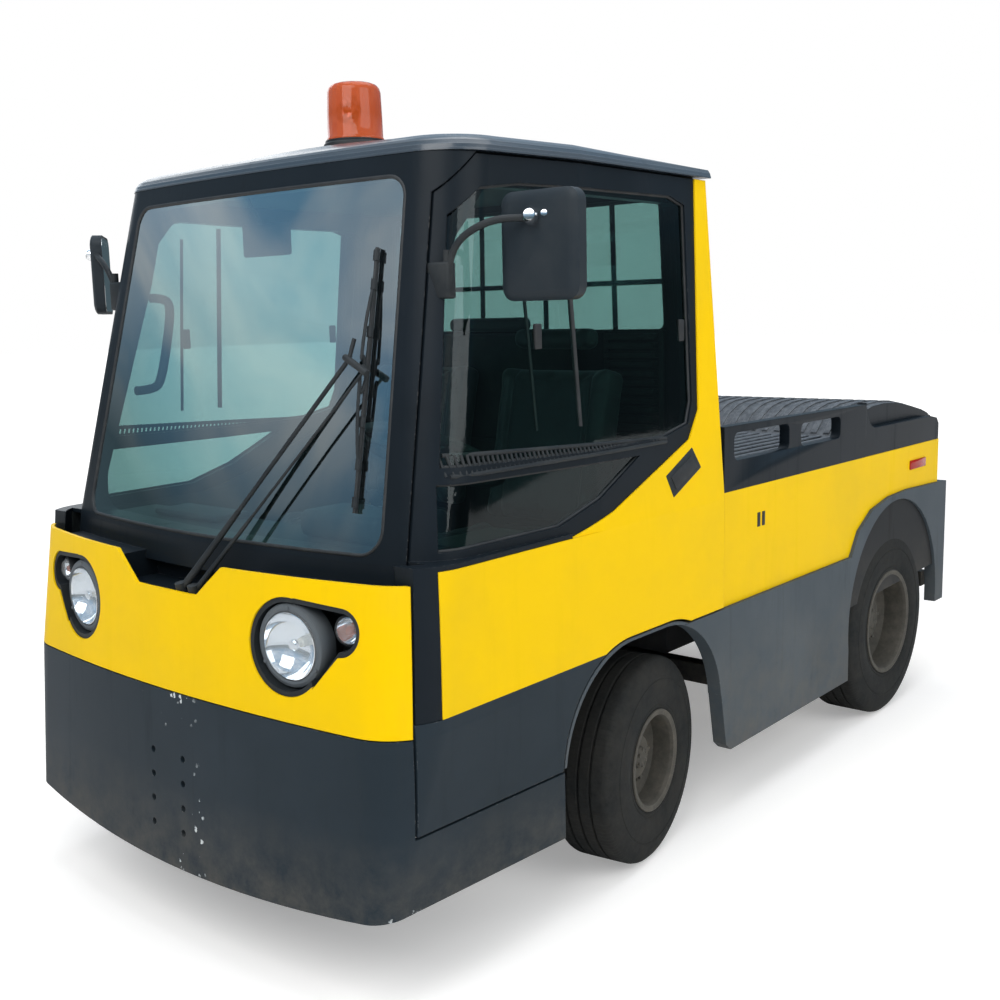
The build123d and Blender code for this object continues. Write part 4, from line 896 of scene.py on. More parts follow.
class TUG_OT_lamps(bpy.types.Operator):
    """Build head lamps, indicators and tail lamps"""
    bl_idname = "tug.lamps"
    bl_label = "Lamps"

    def execute(self, context):
        for side, sign in SIDES:
            head = lamp_place(972, 418, 803, 6, sign)
            bowl = turned([(12, -26), (30, -24), (50, -15), (66, 0), (74, 14), (77, 22)], 64)
            bmesh.ops.solidify(bowl, geom=bowl.faces[:], thickness=-0.001)
            self.place("head_lamp_reflector_", side, bowl, head, "lamp reflector")
            bulb = turned([(0, 6), (5, 5), (7, 0), (7, -14), (11, -16), (11, -28)], 24)
            self.place("head_lamp_bulb_", side, bulb, head, "bulb glass")
            shield = turned([(0, 14), (10, 13), (13, 10), (13, 4), (12, 4)], 32)
            self.place("head_lamp_shield_", side, shield, head, "chrome plate")
            lens = turned([(0, 42), (20, 41), (40, 37.5), (60, 31), (72, 25), (79, 19), (79, 16), (70, 20), (50, 29),
                           (30, 35), (0, 38)], 64)
            made = self.place("head_lamp_lens_", side, lens, head, "clear lens")
            ring = turned([(79, -30), (96, -28), (98, -10), (98, 12), (94, 19), (86, 22), (80, 20), (79, 14)], 64)
            for i in range(3):
                screw = turned([(0, 24), (4, 24), (5, 22), (5, 14)], 12)
                angle = math.radians(90 + 120 * i)
                join(ring, screw, Matrix.Translation(mm(88 * math.cos(angle), 88 * math.sin(angle), 0)))
            self.place("head_lamp_ring_", side, ring, head, "lamp bezel plastic")
            turn = lamp_place(940, 566, 852, 16, sign)
            cup = turned([(4, -16), (16, -13), (26, -2), (30, 10)], 40)
            bmesh.ops.solidify(cup, geom=cup.faces[:], thickness=-0.001)
            self.place("indicator_reflector_", side, cup, turn, "lamp reflector")
            lobe = turned([(0, 26), (12, 25), (22, 21), (30, 13), (31, 8), (29, 8), (20, 17), (0, 22)], 48)
            self.place("indicator_lens_", side, lobe, turn, "clear lens")
            globe = turned([(0, 14), (7, 12), (11, 4), (9, -6), (7, -14)], 20)
            self.place("indicator_bulb_", side, globe, turn, "amber dome")
            rim = turned([(30, -20), (36, -18), (37, 4), (35, 10), (31, 12), (30, 6)], 48)
            self.place("indicator_ring_", side, rim, turn, "moulded black plastic")
            tail = slab((-2112, 560, 900), (-2098, 700, 960), 4)
            flipped(tail, sign)
            piece("tail_lamp_" + side, tail, "red lens", "chassis")
            if sign > 0:
                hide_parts("lamp_lenses")
        return {"FINISHED"}

    def place(self, name, side, bm, matrix, finish):
        """Sets a lamp's part in its place."""
        bmesh.ops.transform(bm, matrix=matrix, verts=bm.verts)
        return piece(name + side, bm, finish, "chassis")


# ---- windows -------------------------------------------------------------------------
class TUG_OT_seals(bpy.types.Operator):
    """Run rubber seals round the panes"""
    bl_idname = "tug.seals"
    bl_label = "Window seals"

    def execute(self, context):
        radius = context.scene.tug_sizes.seal * 1000
        bm = bmesh.new()
        for loop in facing_loops("cab_glass", Vector((1, 0, 0.25)).normalized()):
            if loop[0].x > at(0, 0, 0).x:
                join(bm, run_of(thinned(loop, 8), radius, smooth=False, closed=True))
        for x in (-376, -349):
            join(bm, run_of([at(x, y, z) for y, z in rounded(REAR_WINDOW, 28)], radius, smooth=False, closed=True))
        piece("cab_window_seals", bm, "seal rubber", "chassis", 60)
        for side, sign in SIDES:
            bm = bmesh.new()
            for loop in facing_loops("door_glass_" + side, Vector((0, sign, 0))):
                join(bm, run_of(thinned(loop, 8), radius, smooth=False, closed=True))
            piece("door_window_seals_" + side, bm, "seal rubber", "door_" + side, 60)
        return {"FINISHED"}


# ---- mirrors, wiper, beacon --------------------------------------------------------
MIRROR_SHELL, MIRROR_PANE = (26, 208, 232), (2, 192, 216)
MIRROR_CENTRE = (601, 850, 1667)
FAR_MIRROR_TURN = 38


class TUG_OT_mirrors(bpy.types.Operator):
    """Build both outside mirrors on their arms"""
    bl_idname = "tug.mirrors"
    bl_label = "Outside mirrors"

    def execute(self, context):
        for side, sign in SIDES:
            shell = brick(MIRROR_SHELL)
            upright = [e for e in shell.edges if abs((e.verts[0].co - e.verts[1].co).x) > 0.001]
            bmesh.ops.bevel(shell, geom=upright, offset=0.03, offset_type="OFFSET", affect="EDGES", segments=6,
                            profile=0.5, material=-1)
            front = [f for f in shell.faces if f.normal.x > 0.9]
            for inset, rise in ((0.005, 0.004), (0.008, 0.003), (0.011, 0.002)):
                bmesh.ops.inset_region(shell, faces=front, thickness=inset, depth=rise)
            away = Matrix.Rotation(math.radians(0 if sign > 0 else FAR_MIRROR_TURN), 4, "Z")
            bmesh.ops.transform(shell, matrix=away, verts=shell.verts)
            bmesh.ops.translate(shell, vec=at(*MIRROR_CENTRE), verts=shell.verts)
            head = piece("mirror_shell_" + side, flipped(shell, sign), "mirror shell plastic", "door_" + side, 50)
            glass = brick(MIRROR_PANE)
            upright = [e for e in glass.edges if abs((e.verts[0].co - e.verts[1].co).x) > 0.001]
            bmesh.ops.bevel(glass, geom=upright, offset=0.024, offset_type="OFFSET", affect="EDGES", segments=6,
                            profile=0.5, material=-1)
            bmesh.ops.translate(glass, vec=mm(-13.4, 0, 0), verts=glass.verts)
            bmesh.ops.transform(glass, matrix=away, verts=glass.verts)
            bmesh.ops.translate(glass, vec=at(*MIRROR_CENTRE), verts=glass.verts)
            piece("mirror_pane_" + side, flipped(glass, sign), "mirror glass", "door_" + side)
            arm = run_of([at(686, 647, 1600), at(688, 655, 1640), at(690, 690, 1690), at(672, 760, 1722),
                          at(640, 810, 1726), at(622, 836, 1724)], 8.0, sides=5)
            join(arm, slab((672, 585, 1560), (700, 662, 1640), 6))
            join(arm, bar(at(686, 652, 1585), at(686, 652, 1665), 11, 20))
            piece("mirror_arm_" + side, flipped(arm, sign), "moulded black plastic", "door_" + side, 50)
            clamp = turned([(0, 34), (12, 32), (17, 24), (18, 10), (18, 0), (14, -4), (14, -12)], 32)
            join(clamp, turned([(0, 22), (7, 21), (8, 16), (8, -24)], 20), Matrix.Translation(mm(30, 4, 0)))
            join(clamp, brick((46, 22, 14), 5), Matrix.Translation(mm(14, 2, 2)))
            spot_at = seated(at(622, 836, 1726), Vector((0.85, 0.45, 0.1)))
            bmesh.ops.transform(clamp, matrix=spot_at, verts=clamp.verts)
            piece("mirror_clamp_" + side, flipped(clamp, sign), "chrome plate", "door_" + side)
            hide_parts("mirror_" + side)
        return {"FINISHED"}


def screen_point(y, z, proud):
    """Point that stands off the windscreen's outer face at a place across and up the vehicle."""
    point, normal = cast("cab_glass", at(2500, y, z), Vector((-1, 0, 0)))
    if point is None:
        raise RuntimeError("no windscreen at " + str((y, z)))
    return point + normal * proud / 1000


class TUG_OT_wiper(bpy.types.Operator):
    """Build the windscreen wiper with its two arms"""
    bl_idname = "tug.wiper"
    bl_label = "Wiper"

    def execute(self, context):
        pivot_a, pivot_b = at(1000, 40, 886), at(1000, 90, 886)
        elbow_a, elbow_b = at(806, 452, 1432), at(812, 500, 1402)
        foot, tip = screen_point(505, 1090, 12), screen_point(470, 1676, 12)
        bm = bmesh.new()
        for pivot, elbow, thick in ((pivot_a, elbow_a, 7.0), (pivot_b, elbow_b, 4.5)):
            join(bm, bar(pivot, pivot + (elbow - pivot) * 0.35, thick + 3, 12, thick))
            join(bm, bar(pivot + (elbow - pivot) * 0.33, elbow, thick * 0.8, 10))
            join(bm, bar(pivot + mm(0, 0, -14), pivot + mm(6, 0, 16), 13, 24))
        join(bm, bar(elbow_a + mm(0, -14, 4), elbow_b + mm(0, 14, -2), 8, 12))
        join(bm, bar(elbow_a, elbow_a.lerp(tip, 0.18), 5, 10))
        middle = foot.lerp(tip, 0.55)
        join(bm, bar(elbow_b + mm(0, 4, 0), middle + mm(12, 0, 0), 6, 10))
        along = (tip - foot)
        out = Vector((0.25, 0, 0.06)).normalized()
        for a, b in ((0.18, 0.5), (0.5, 0.86)):
            start, end = foot.lerp(tip, a), foot.lerp(tip, b)
            peak = foot.lerp(tip, 0.55)
            join(bm, run_of([start, start.lerp(end, 0.3) + out * 0.014, peak + out * 0.02,
                             end.lerp(start, 0.3) + out * 0.014, end], 4.0))
        for a in (0.04, 0.18, 0.34, 0.68, 0.86, 0.97):
            spot_at = foot.lerp(tip, a)
            join(bm, bar(spot_at - along.normalized() * 0.012, spot_at + along.normalized() * 0.012, 7.5, 10))
        made = piece("wiper_arms", bm, "moulded black plastic", "chassis", 40)
        rubber = bar(foot, tip, 4.0, 8)
        join(rubber, bar(foot - out * 0.008, tip - out * 0.008, 2.5, 6))
        piece("wiper_rubber", rubber, "seal rubber", "chassis", 40)
        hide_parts("wiper")
        return {"FINISHED"}


class TUG_OT_beacon(bpy.types.Operator):
    """Build the beacon's dome, lamp and rubber foot"""
    bl_idname = "tug.beacon"
    bl_label = "Beacon"

    def execute(self, context):
        low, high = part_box("beacon_dome")
        centre = Vector(((low.x + high.x) / 2, (low.y + high.y) / 2, low.z))
        tall = (high.z - low.z) * 1000
        wide = (high.x - low.x) * 500
        shell = turned([(wide - 1, 0), (wide, 3), (wide - 1, 8), (wide - 3, 10), (wide - 4, tall * 0.45),
                        (wide - 6, tall - 24), (wide - 9, tall - 13), (wide - 16, tall - 5), (wide - 26, tall - 1),
                        (wide * 0.4, tall), (0, tall - 0.5)], 64)
        bmesh.ops.translate(shell, vec=centre, verts=shell.verts)
        dome = piece("beacon_shell", shell, "amber dome", "chassis", 50)
        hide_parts("beacon_dome")
        dish = turned([(0, 34), (18, 38), (36, 52), (48, 74), (50, 92)], 40)
        bmesh.ops.solidify(dish, geom=dish.faces[:], thickness=-0.0015)
        tilt = Matrix.Rotation(math.radians(62), 4, "Y")
        bmesh.ops.transform(dish, matrix=Matrix.Translation(centre + mm(-40, 0, 50)) @ tilt, verts=dish.verts)
        bmesh.ops.scale(dish, vec=(0.72, 0.8, 0.8), verts=dish.verts,
                        space=Matrix.Translation(-(centre + mm(0, 0, 60))))
        piece("beacon_reflector", dish, "lamp reflector", "chassis")
        bulb = turned([(0, 92), (8, 88), (10, 78), (7, 62), (9, 58), (9, 20), (26, 18), (26, 0)], 32)
        bmesh.ops.translate(bulb, vec=centre, verts=bulb.verts)
        piece("beacon_bulb", bulb, "bulb glass", "chassis")
        ring = turned([(wide + 6, -22), (wide + 9, -19), (wide + 8, -8), (wide + 3, -3), (wide + 3, 2),
                       (wide - 2, 2)], 64)
        bmesh.ops.translate(ring, vec=centre, verts=ring.verts)
        piece("beacon_foot_lip", ring, "seal rubber", "chassis")
        return {"FINISHED"}


# ---- seats -------------------------------------------------------------------------
def inflate(pad, cap_mm, frames=20):
    """Swells a closed pad under cloth pressure, no point moving further than the cap."""
    rest = [v.co.copy() for v in pad.data.vertices]
    cloth = pad.modifiers.new("swell", "CLOTH")
    cloth.settings.use_pressure = True
    cloth.settings.uniform_pressure_force = 4.0
    cloth.settings.effector_weights.gravity = 0.0
    cloth.settings.quality = 5
    cloth.point_cache.frame_start = 1
    cloth.point_cache.frame_end = frames
    for number in range(1, frames + 1):
        bpy.context.scene.frame_set(number)
    graph = bpy.context.evaluated_depsgraph_get()
    swollen = [v.co.copy() for v in pad.evaluated_get(graph).data.vertices]
    pad.modifiers.remove(cloth)
    bpy.context.scene.frame_set(1)
    cap = cap_mm / 1000
    for vertex, start, end in zip(pad.data.vertices, rest, swollen):
        move = end - start
        if move.length > cap:
            move *= cap / move.length
        vertex.co = start + move


def seat_pad(name, size, place, channel):
    """Stuffed pad: a closed crowned form, swollen, with sewn channels across and piping at its rim."""
    wide, deep, thick = size
    bm = brick((deep - 14, wide - 14, thick - 12), 26, 4)
    mesh = bpy.data.meshes.new(name)
    bm.to_mesh(mesh)
    bm.free()
    pad = bpy.data.objects.new(name, mesh)
    bpy.context.scene.collection.objects.link(pad)
    remesh = pad.modifiers.new("remesh", "REMESH")
    remesh.mode = "VOXEL"
    remesh.voxel_size = 0.0065
    graph = bpy.context.evaluated_depsgraph_get()
    dense = bpy.data.meshes.new_from_object(pad.evaluated_get(graph))
    pad.modifiers.clear()
    pad.data = dense
    inflate(pad, 12)
    lip = wide / 2000 - 0.075
    for vertex in pad.data.vertices:
        co = vertex.co
        if co.z > thick * 0.0002:
            across = min(1.0, max(0.0, (lip - abs(co.y)) / 0.02)) if channel else 0.0
            ridge = math.cos(2 * math.pi * co.x / channel) if channel else 0.0
            co.z -= across * 0.009 * max(0.0, -ridge) ** 3
            seam = math.exp(-((abs(co.y) - lip) / 0.006) ** 2)
            co.z -= 0.007 * seam
            co.z += 0.012 * min(1.0, max(0.0, (abs(co.y) - lip) / 0.03))
    pad.data.transform(place)
    pad.data.shade_smooth()
    pad.data.materials.clear()
    pad.data.materials.append(bpy.data.materials["seat vinyl"])
    divide = pad.modifiers.new("smooth", "SUBSURF")
    divide.levels = divide.render_levels = 1
    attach(pad, "chassis")
    return pad


# seat, place across, rear edge, whether channels are sewn across it
SEATS = (("driver", 330.0, -40.0, False), ("passenger", -310.0, -150.0, True))
SEAT_LEAN = 12


class TUG_OT_seats(bpy.types.Operator):
    """Stuff and sew both seats"""
    bl_idname = "tug.seats"
    bl_label = "Seats"

    def execute(self, context):
        channel = context.scene.tug_sizes.channel
        cushions, backs = [], []
        for label, y, x, sewn in SEATS:
            rib = channel if sewn else 0.0
            low = Matrix.Translation(at(x + 215, y, 840))
            cushions.append(seat_pad("seat_cushion_" + label, (450, 430, 118), low, rib))
            lean = Matrix.Rotation(math.radians(-SEAT_LEAN), 4, "Y")
            base = Matrix.Translation(at(x + 30, y, 915)) @ lean @ Matrix.Translation(mm(-50, 0, 240))
            stand = base @ Matrix.Rotation(math.radians(90), 4, "Y") @ Matrix.Rotation(math.radians(180), 4, "Z")
            backs.append(seat_pad("seat_back_" + label, (430, 480, 98), stand, rib))
        rest = Matrix.Translation(at(-127, 330, 1450)) @ Matrix.Rotation(math.radians(78), 4, "Y")
        seat_pad("head_rest_driver", (300, 76, 60), rest, 0.0)
        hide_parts("seat_cushions")
        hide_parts("seat_backs")
        return {"FINISHED"}


# ---- cab inside ----------------------------------------------------------------------
class TUG_OT_cab_inside(bpy.types.Operator):
    """Fit the cab's trim: bulkhead, headlining, binnacle, levers, handle and inside mirror"""
    bl_idname = "tug.cab_inside"
    bl_label = "Cab inside"

    def execute(self, context):
        trim = slab((-346, -600, 720), (-318, 600, 1120), 10)
        join(trim, slab((-346, -560, 1120), (-316, 235, 1462), 10))
        for i in range(12):
            fin = slab((-330, 372, 1146 + 27 * i), (-300, 550, 1164 + 27 * i), 3, 1)
            join(trim, fin)
        join(trim, slab((-346, 355, 1130), (-326, 372, 1470), 3))
        join(trim, slab((-346, 550, 1130), (-326, 566, 1470), 3))
        join(trim, slab((-346, 355, 1120), (-336, 566, 1467), 2))
        piece("rear_bulkhead_trim", trim, "cab trim plastic", "chassis")
        head = slab((-330, -560, 1866), (560, 560, 1882), 4)
        piece("headlining", head, "cab trim plastic", "chassis")
        rest = slab((-332, -248, 1470), (-292, 80, 1514), 18, 4)
        piece("head_pad", rest, "seat vinyl", "chassis", 60)
        pod = slab((600, 190, 992), (760, 470, 1060), 22, 4)
        join(pod, slab((640, -420, 992), (760, -140, 1010), 8))
        piece("dash_binnacle", pod, "cab trim plastic", "chassis", 50)
        dials = bmesh.new()
        for y in (265, 330, 395):
            dial = turned([(0, 4), (22, 4), (25, 6), (27, 6), (28, 0)], 32)
            join(dials, dial, seated(at(598, y, 1028), Vector((-1, 0, 0.15))))
        piece("dash_dials", dials, "moulded black plastic", "chassis")
        box = slab((-140, -60, 705), (420, 40, 850), 14, 3)
        piece("centre_console", box, "cab trim plastic", "chassis", 50)
        lever = bar(at(260, -10, 850), at(300, -10, 1000), 7, 12)
        knob = turned([(0, 24), (14, 22), (20, 10), (18, -8), (8, -20)], 24)
        join(lever, knob, Matrix.Translation(at(303, -10, 1012)))
        piece("parking_brake_lever", lever, "moulded black plastic", "chassis")
        grip = run_of([at(700, -560, 1330), at(640, -556, 1330), at(615, -556, 1360), at(590, -552, 1470),
                       at(575, -548, 1560), at(590, -546, 1592), at(640, -548, 1592)], 13, sides=5)
        piece("grab_handle", grip, "moulded black plastic", "chassis", 60)
        glass = brick((16, 200, 92), 7)
        bmesh.ops.translate(glass, vec=at(452, -248, 1746), verts=glass.verts)
        join(glass, bar(at(470, -248, 1790), at(520, -248, 1866), 5, 12))
        piece("inside_mirror", glass, "mirror shell plastic", "chassis", 50)
        return {"FINISHED"}


# ---- body fittings ----------------------------------------------------------------------
def side_plate(node, outline, sign, proud, sunk, finish, name, body, bevel=1.5):
    """Plate laid on a node's side over an outline given along and up the vehicle."""
    bm = bmesh.new()
    ring = []
    for x, z in outline:
        point, normal = surface(node, x, z, sign)
        ring.append((point, normal))
    face = bm.faces.new([bm.verts.new(p - n * sunk / 1000) for p, n in ring])
    mean = sum((n for _, n in ring), Vector()) / len(ring)
    grown = bmesh.ops.extrude_face_region(bm, geom=[face])["geom"]
    bmesh.ops.translate(bm, vec=mean.normalized() * (proud + sunk) / 1000,
                        verts=[v for v in grown if isinstance(v, bmesh.types.BMVert)])
    if bevel:
        bmesh.ops.bevel(bm, geom=bm.edges[:], offset=bevel / 1000, offset_type="OFFSET", affect="EDGES", segments=2,
                        profile=0.5, material=-1)
    return piece(name, bm, finish, body)


def outer(side, x, z, sign):
    """Outermost point of a door at a place along and up the vehicle, or beside it over a gap."""
    for aside in (0, 6, -6, 12, -12, 20, -20, 30):
        found = []
        for node in ("door_skin_", "door_frame_", "door_glass_"):
            point, _ = cast(node + side, at(x, 1500 * sign, z + aside), Vector((0, -sign, 0)))
            if point:
                found.append(abs(point.y) * 1000)
        if found:
            return at(x, max(found) * sign, z)
    raise RuntimeError("no door at " + str((x, z)))


# upright of the fixed pane, and the leading edge of the pane that slides behind it:
# place along the vehicle, foot, head, radius and how far it is let in
PANE_UPRIGHTS = ((295, 1248, 1812, 7.0, 3), (449, 1250, 1810, 4.5, 8))
PANE_PULLS = (425, -194)
TRACK_REAR, TRACK_FRONT, TRACK_TEETH = -66, 756, 54


def track_edges(x):
    """Heights of the lower and upper edge of the pane track, which widens towards the front."""
    share = (x - TRACK_REAR) / (TRACK_FRONT - TRACK_REAR)
    return 1177 - 3 * share, 1186 + 34 * share


class TUG_OT_sliding_panes(bpy.types.Operator):
    """Fit the sliding panes' frames and their ribbed track to both doors"""
    bl_idname = "tug.sliding_panes"
    bl_label = "Sliding panes"

    def execute(self, context):
        for side, sign in SIDES:
            bm = bmesh.new()
            for x, low, high, radius, inward in PANE_UPRIGHTS:
                line = [outer(side, x, z, sign) - mm(0, inward * sign, 0) for z in range(low, high, 40)]
                join(bm, run_of(line, radius))
            for x in PANE_PULLS:
                join(bm, brick((26, 10, 60), 4), Matrix.Translation(outer(side, x, 1470, sign)))
            piece("sliding_pane_frame_" + side, bm, "seal rubber", "door_" + side, 50)
            track = bmesh.new()
            for i in range(TRACK_TEETH):
                x = TRACK_REAR + i * (TRACK_FRONT - TRACK_REAR) / (TRACK_TEETH - 1)
                foot, head = (outer(side, x, z, sign) - mm(0, 1.5 * sign, 0) for z in track_edges(x))
                join(track, bar(foot, head, 4.0, 8))
            for edge in (0, 1):
                line = [outer(side, x, track_edges(x)[edge], sign) for x in range(TRACK_REAR, TRACK_FRONT + 1, 68)]
                join(track, run_of(line, 5.5))
            piece("pane_track_" + side, track, "moulded black plastic", "door_" + side, 50)
        return {"FINISHED"}


class TUG_OT_fittings(bpy.types.Operator):
    """Fit handles, side lamps and the deck's ribs"""
    bl_idname = "tug.fittings"
    bl_label = "Body fittings"

    def execute(self, context):
        for side, sign in SIDES:
            outline = ((-48, 1086), (-190, 1150), (-232, 1090), (-80, 1024))
            side_plate("door_skin_" + side, outline, sign, 1.5, 3, "moulded black plastic", "door_handle_tray_" + side,
                       "door_" + side, 2)
            grip = ((-70, 1080), (-180, 1128), (-206, 1094), (-92, 1044))
            side_plate("door_skin_" + side, grip, sign, 5, 2, "seal rubber", "door_handle_" + side, "door_" + side, 3)
            lamp = ((-1790, 905), (-1790, 940), (-1945, 940), (-1945, 905))
            side_plate("rear_body", lamp, sign, 6, 2, "red lens", "side_marker_" + side, "chassis", 3)
            # the vent slots are dark rubber plates laid on the body: painted shade where the open slots would be dark
            # inside
            for i, x in enumerate((-574, -604)):
                slot = ((x, 868), (x, 912), (x - 18, 912), (x - 18, 868))
                side_plate("rear_body", slot, sign, 1.5, 2, "seal rubber", "vent_slot_shade_%d_%s" % (i, side), "chassis", 1)
        self.arch_shade_plates_and_door_trim()
        low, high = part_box("deck_lid")
        slat = context.scene.tug_sizes.slat
        count = int((high.y - low.y - 0.06) / slat)
        bm = bmesh.new()
        for i in range(count + 1):
            y = (low.y + high.y) / 2 + (i - count / 2) * slat
            rib = brick((high.x * 1000 - low.x * 1000 - 60, 22, 8), 3, 1)
            join(bm, rib, Matrix.Translation(((low.x + high.x) / 2, y, high.z + 0.003)))
        piece("deck_ribs", bm, "trodden deck plate", "deck_lid")
        return {"FINISHED"}


    def arch_shade_plates_and_door_trim(self):
        """Flat plates of black chassis enamel across the rear arch openings, as painted shade for the arches' shaded
        inside, and trim on the doors' inner faces.
        """
        centre = JOINTS["rear_left_wheel"]["pos_m"]
        for side, sign in SIDES:
            outline = []
            for degrees in range(18, 163, 6):
                way = Vector((math.cos(math.radians(degrees)), 0, math.sin(math.radians(degrees))))
                for reach in range(380, 540, 4):
                    spot_at = Vector((centre[0], 1.5 * sign, centre[2])) + way * (reach / 1000)
                    if cast("side_skirts", spot_at, Vector((0, -sign, 0)), 0.85)[0]:
                        break
                outline.append(spot_at + way * 0.004)
            # a flat black sheet in the arch opening: painted shade where the arch's inside lies in shadow
            bm = bmesh.new()
            face = bm.faces.new([bm.verts.new((p.x, 0.7465 * sign, p.z)) for p in outline])
            grown = bmesh.ops.extrude_face_region(bm, geom=[face])["geom"]
            bmesh.ops.translate(bm, vec=mm(0, -1.2 * sign, 0),
                                verts=[v for v in grown if isinstance(v, bmesh.types.BMVert)])
            piece("rear_arch_shade_plate_" + side, bm, "chassis enamel", "chassis")
            trim = bmesh.new()
            trim.from_mesh(NODES["door_skin_" + side].data)
            bmesh.ops.remove_doubles(trim, verts=trim.verts, dist=1e-5)
            outward = [f for f in trim.faces if f.normal.y * sign > -0.5]
            bmesh.ops.delete(trim, geom=outward, context="FACES")
            bmesh.ops.translate(trim, vec=mm(0, -1.0 * sign, 0), verts=trim.verts)
            bmesh.ops.solidify(trim, geom=trim.faces[:], thickness=0.0012)
            piece("door_trim_" + side, trim, "cab trim plastic", "door_" + side)


# ---- stage ---------------------------------------------------------------------------
CAMERA_PLACE = (2643.32, 2432.68, 1520.32)
SENSOR = 36.0
FLOOR_HALF = 60
# area lamps: name, place and size in metres, power, colour
LAMPS = (
    ("key", (4.6, 1.2, 5.0), 4.0, 180.0, (1.0, 0.98, 0.95)),
    ("side", (0.5, 6.0, 4.2), 4.5, 150.0, (1.0, 0.99, 0.97)),
    ("top", (-0.5, 0.0, 6.5), 5.0, 150.0, (0.96, 0.98, 1.0)),
    ("far side", (-1.5, -6.0, 4.0), 4.0, 90.0, (1.0, 1.0, 1.0)),
)
AIM = (0, 0, 0.9)


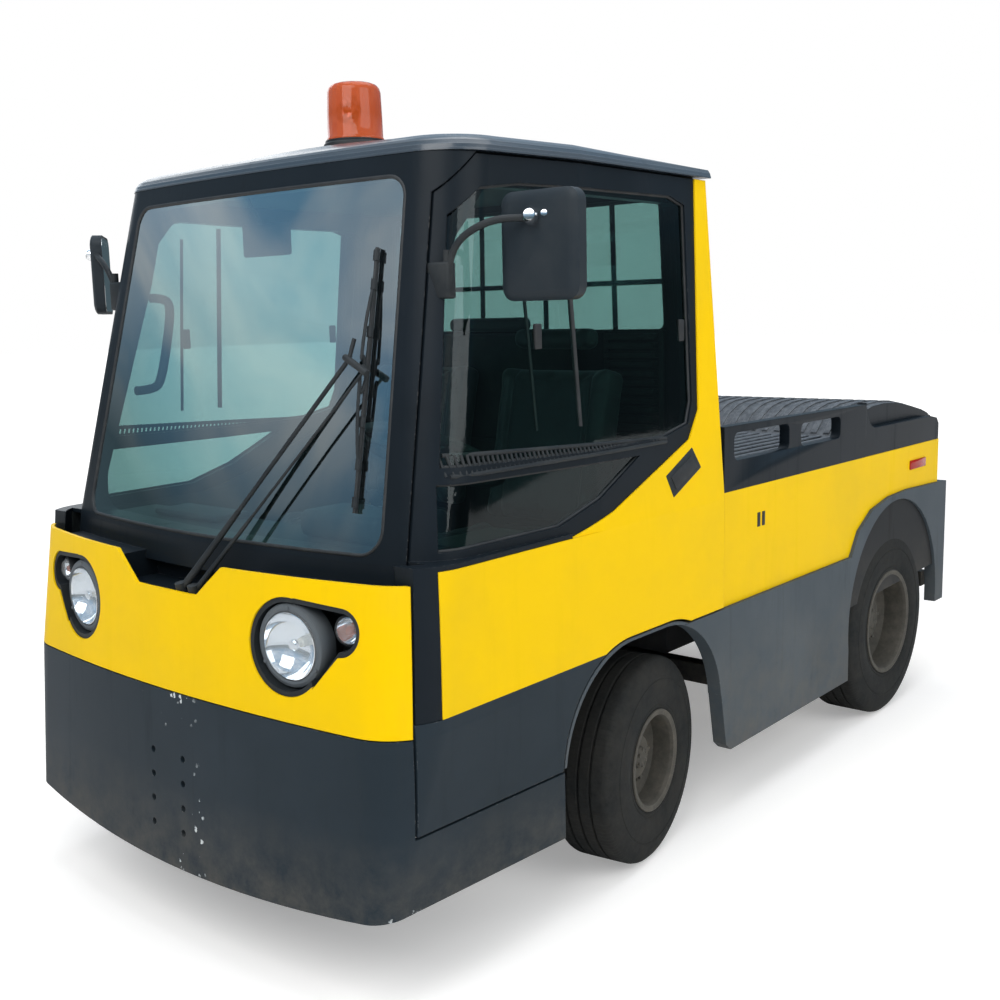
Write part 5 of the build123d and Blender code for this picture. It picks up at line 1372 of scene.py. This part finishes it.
class TUG_OT_stage(bpy.types.Operator):
    """Set up floor, light and camera"""
    bl_idname = "tug.stage"
    bl_label = "Stage"

    def execute(self, context):
        stage = context.scene.tug_stage
        self.floor()
        self.world(context.scene)
        self.lamps()
        data = bpy.data.cameras.new("camera")
        data.sensor_width = SENSOR
        data.lens = stage.lens
        data.clip_start, data.clip_end = 0.05, 200.0
        camera = bpy.data.objects.new("camera", data)
        look = Vector((math.cos(stage.tilt) * math.cos(stage.heading), math.cos(stage.tilt) * math.sin(stage.heading),
                       math.sin(stage.tilt)))
        right = look.cross(Vector((0, 0, 1))).normalized()
        up = right.cross(look)
        c, s = math.cos(stage.roll), math.sin(stage.roll)
        x_axis, y_axis = c * right + s * up, -s * right + c * up
        turn = Matrix((x_axis, y_axis, -look)).transposed().to_4x4()
        camera.matrix_world = Matrix.Translation(at(*CAMERA_PLACE)) @ turn
        context.scene.collection.objects.link(camera)
        context.scene.camera = camera
        context.scene.view_settings.view_transform = "Standard"
        return {"FINISHED"}

    def floor(self):
        tree = new_finish("studio floor")
        where = add(tree, "TexCoord").outputs["Object"]
        away = add(tree, "VectorMath", {0: where}, operation="LENGTH").outputs["Value"]
        far = ramp(tree, away, 3.5, 9.0)
        matt = add(tree, "BsdfDiffuse", {"Color": (0.93, 0.93, 0.93, 1)}).outputs[0]
        white = add(tree, "Emission", {"Color": (1, 1, 1, 1), "Strength": 1.0}).outputs[0]
        mixed = add(tree, "MixShader", {0: far, 1: matt, 2: white}).outputs[0]
        lift = add(tree, "Math", {0: add(tree, "LightPath").outputs["Is Camera Ray"], 1: 0.3}, operation="MULTIPLY")
        paper = add(tree, "Emission", {"Color": (1, 1, 1, 1), "Strength": lift.outputs[0]}).outputs[0]
        shown = add(tree, "AddShader", {0: mixed, 1: paper}).outputs[0]
        add(tree, "OutputMaterial", {"Surface": shown})
        bm = bmesh.new()
        bmesh.ops.create_grid(bm, x_segments=1, y_segments=1, size=FLOOR_HALF)
        mesh = bpy.data.meshes.new("floor")
        bm.to_mesh(mesh)
        bm.free()
        mesh.materials.append(bpy.data.materials["studio floor"])
        made = bpy.data.objects.new("floor", mesh)
        bpy.context.scene.collection.objects.link(made)

    def world(self, scene):
        world = bpy.data.worlds.new("studio")
        scene.world = world
        world.use_nodes = True
        tree = world.node_tree
        tree.nodes.clear()
        way = add(tree, "TexCoord").outputs["Generated"]
        path = add(tree, "LightPath")
        height = add(tree, "SeparateXYZ", {0: way}).outputs["Z"]
        flat = add(tree, "Mapping", {"Vector": way, "Scale": (1.2, 1.2, 3.5)}).outputs[0]
        cloud = add(tree, "TexNoise", {"Vector": flat, "Scale": 2.2, "Detail": 5.0, "Distortion": 0.6}).outputs[0]
        sky = blend_colour(tree, ramp(tree, cloud, 0.4, 0.65), rgba(srgb("#86B6DA")), rgba(srgb("#F4FAFF")))
        # apron below, a dark line of hangars at the horizon, sky above
        ground = blend_colour(tree, ramp(tree, height, -0.12, 0.0), rgba(srgb("#8E9394")), rgba(srgb("#4A5B62")))
        seen = blend_colour(tree, ramp(tree, height, 0.10, 0.34), ground, sky)
        soft = add(tree, "Background", {"Color": (0.93, 0.96, 1.0, 1), "Strength": 0.42}).outputs[0]
        mirrored = add(tree, "Background", {"Color": seen, "Strength": 0.95}).outputs[0]
        white = add(tree, "Background", {"Color": (1, 1, 1, 1), "Strength": 1.0}).outputs[0]
        lit = add(tree, "MixShader", {0: path.outputs["Is Glossy Ray"], 1: soft, 2: mirrored}).outputs[0]
        clear = larger(tree, path.outputs["Is Camera Ray"], path.outputs["Is Transmission Ray"])
        shown = add(tree, "MixShader", {0: clear, 1: lit, 2: white}).outputs[0]
        add(tree, "OutputWorld", {"Surface": shown})

    def lamps(self):
        for name, place, size, power, colour in LAMPS:
            data = bpy.data.lights.new(name, "AREA")
            data.size = size
            data.energy = power
            data.color = colour
            lamp = bpy.data.objects.new(name, data)
            lamp.location = place
            aim = Vector(AIM) - Vector(place)
            lamp.rotation_mode = "QUATERNION"
            lamp.rotation_quaternion = aim.to_track_quat("-Z", "Y")
            bpy.context.scene.collection.objects.link(lamp)


class TUG_PT_panel(bpy.types.Panel):
    """Settings and steps of the baggage tug"""
    bl_idname = "TUG_PT_panel"
    bl_label = "Baggage Tug"
    bl_space_type = "VIEW_3D"
    bl_region_type = "UI"
    bl_category = "Tug"

    def draw(self, context):
        layout = self.layout
        for group in (context.scene.tug_colours, context.scene.tug_sizes, context.scene.tug_stage):
            box = layout.box()
            for name in group.__annotations__:
                box.prop(group, name)
        for operator in OPERATORS:
            layout.operator(operator.bl_idname)


GROUPS = (("tug_colours", TugColours), ("tug_sizes", TugSizes), ("tug_stage", TugStage))
OPERATORS = (
    TUG_OT_finishes, TUG_OT_dress, TUG_OT_shell, TUG_OT_rails, TUG_OT_tyres, TUG_OT_wheels, TUG_OT_lamps,
    TUG_OT_seals, TUG_OT_mirrors, TUG_OT_wiper, TUG_OT_beacon, TUG_OT_seats, TUG_OT_cab_inside,
    TUG_OT_sliding_panes, TUG_OT_fittings, TUG_OT_stage,
)


def register():
    for name, group in GROUPS:
        bpy.utils.register_class(group)
        setattr(bpy.types.Scene, name, bpy.props.PointerProperty(type=group))
    for operator in OPERATORS:
        bpy.utils.register_class(operator)
    bpy.utils.register_class(TUG_PT_panel)


def unregister():
    bpy.utils.unregister_class(TUG_PT_panel)
    for operator in reversed(OPERATORS):
        bpy.utils.unregister_class(operator)
    for name, group in reversed(GROUPS):
        delattr(bpy.types.Scene, name)
        bpy.utils.unregister_class(group)


def main():
    register()
    bpy.ops.tug.finishes()
    bpy.ops.tug.dress()
    bpy.ops.tug.shell()
    bpy.ops.tug.rails()
    bpy.ops.tug.tyres()
    bpy.ops.tug.wheels()
    bpy.ops.tug.lamps()
    bpy.ops.tug.seals()
    bpy.ops.tug.mirrors()
    bpy.ops.tug.wiper()
    bpy.ops.tug.beacon()
    bpy.ops.tug.seats()
    bpy.ops.tug.cab_inside()
    bpy.ops.tug.sliding_panes()
    bpy.ops.tug.fittings()
    bpy.ops.tug.stage()


if __name__ == "__main__":
    main()
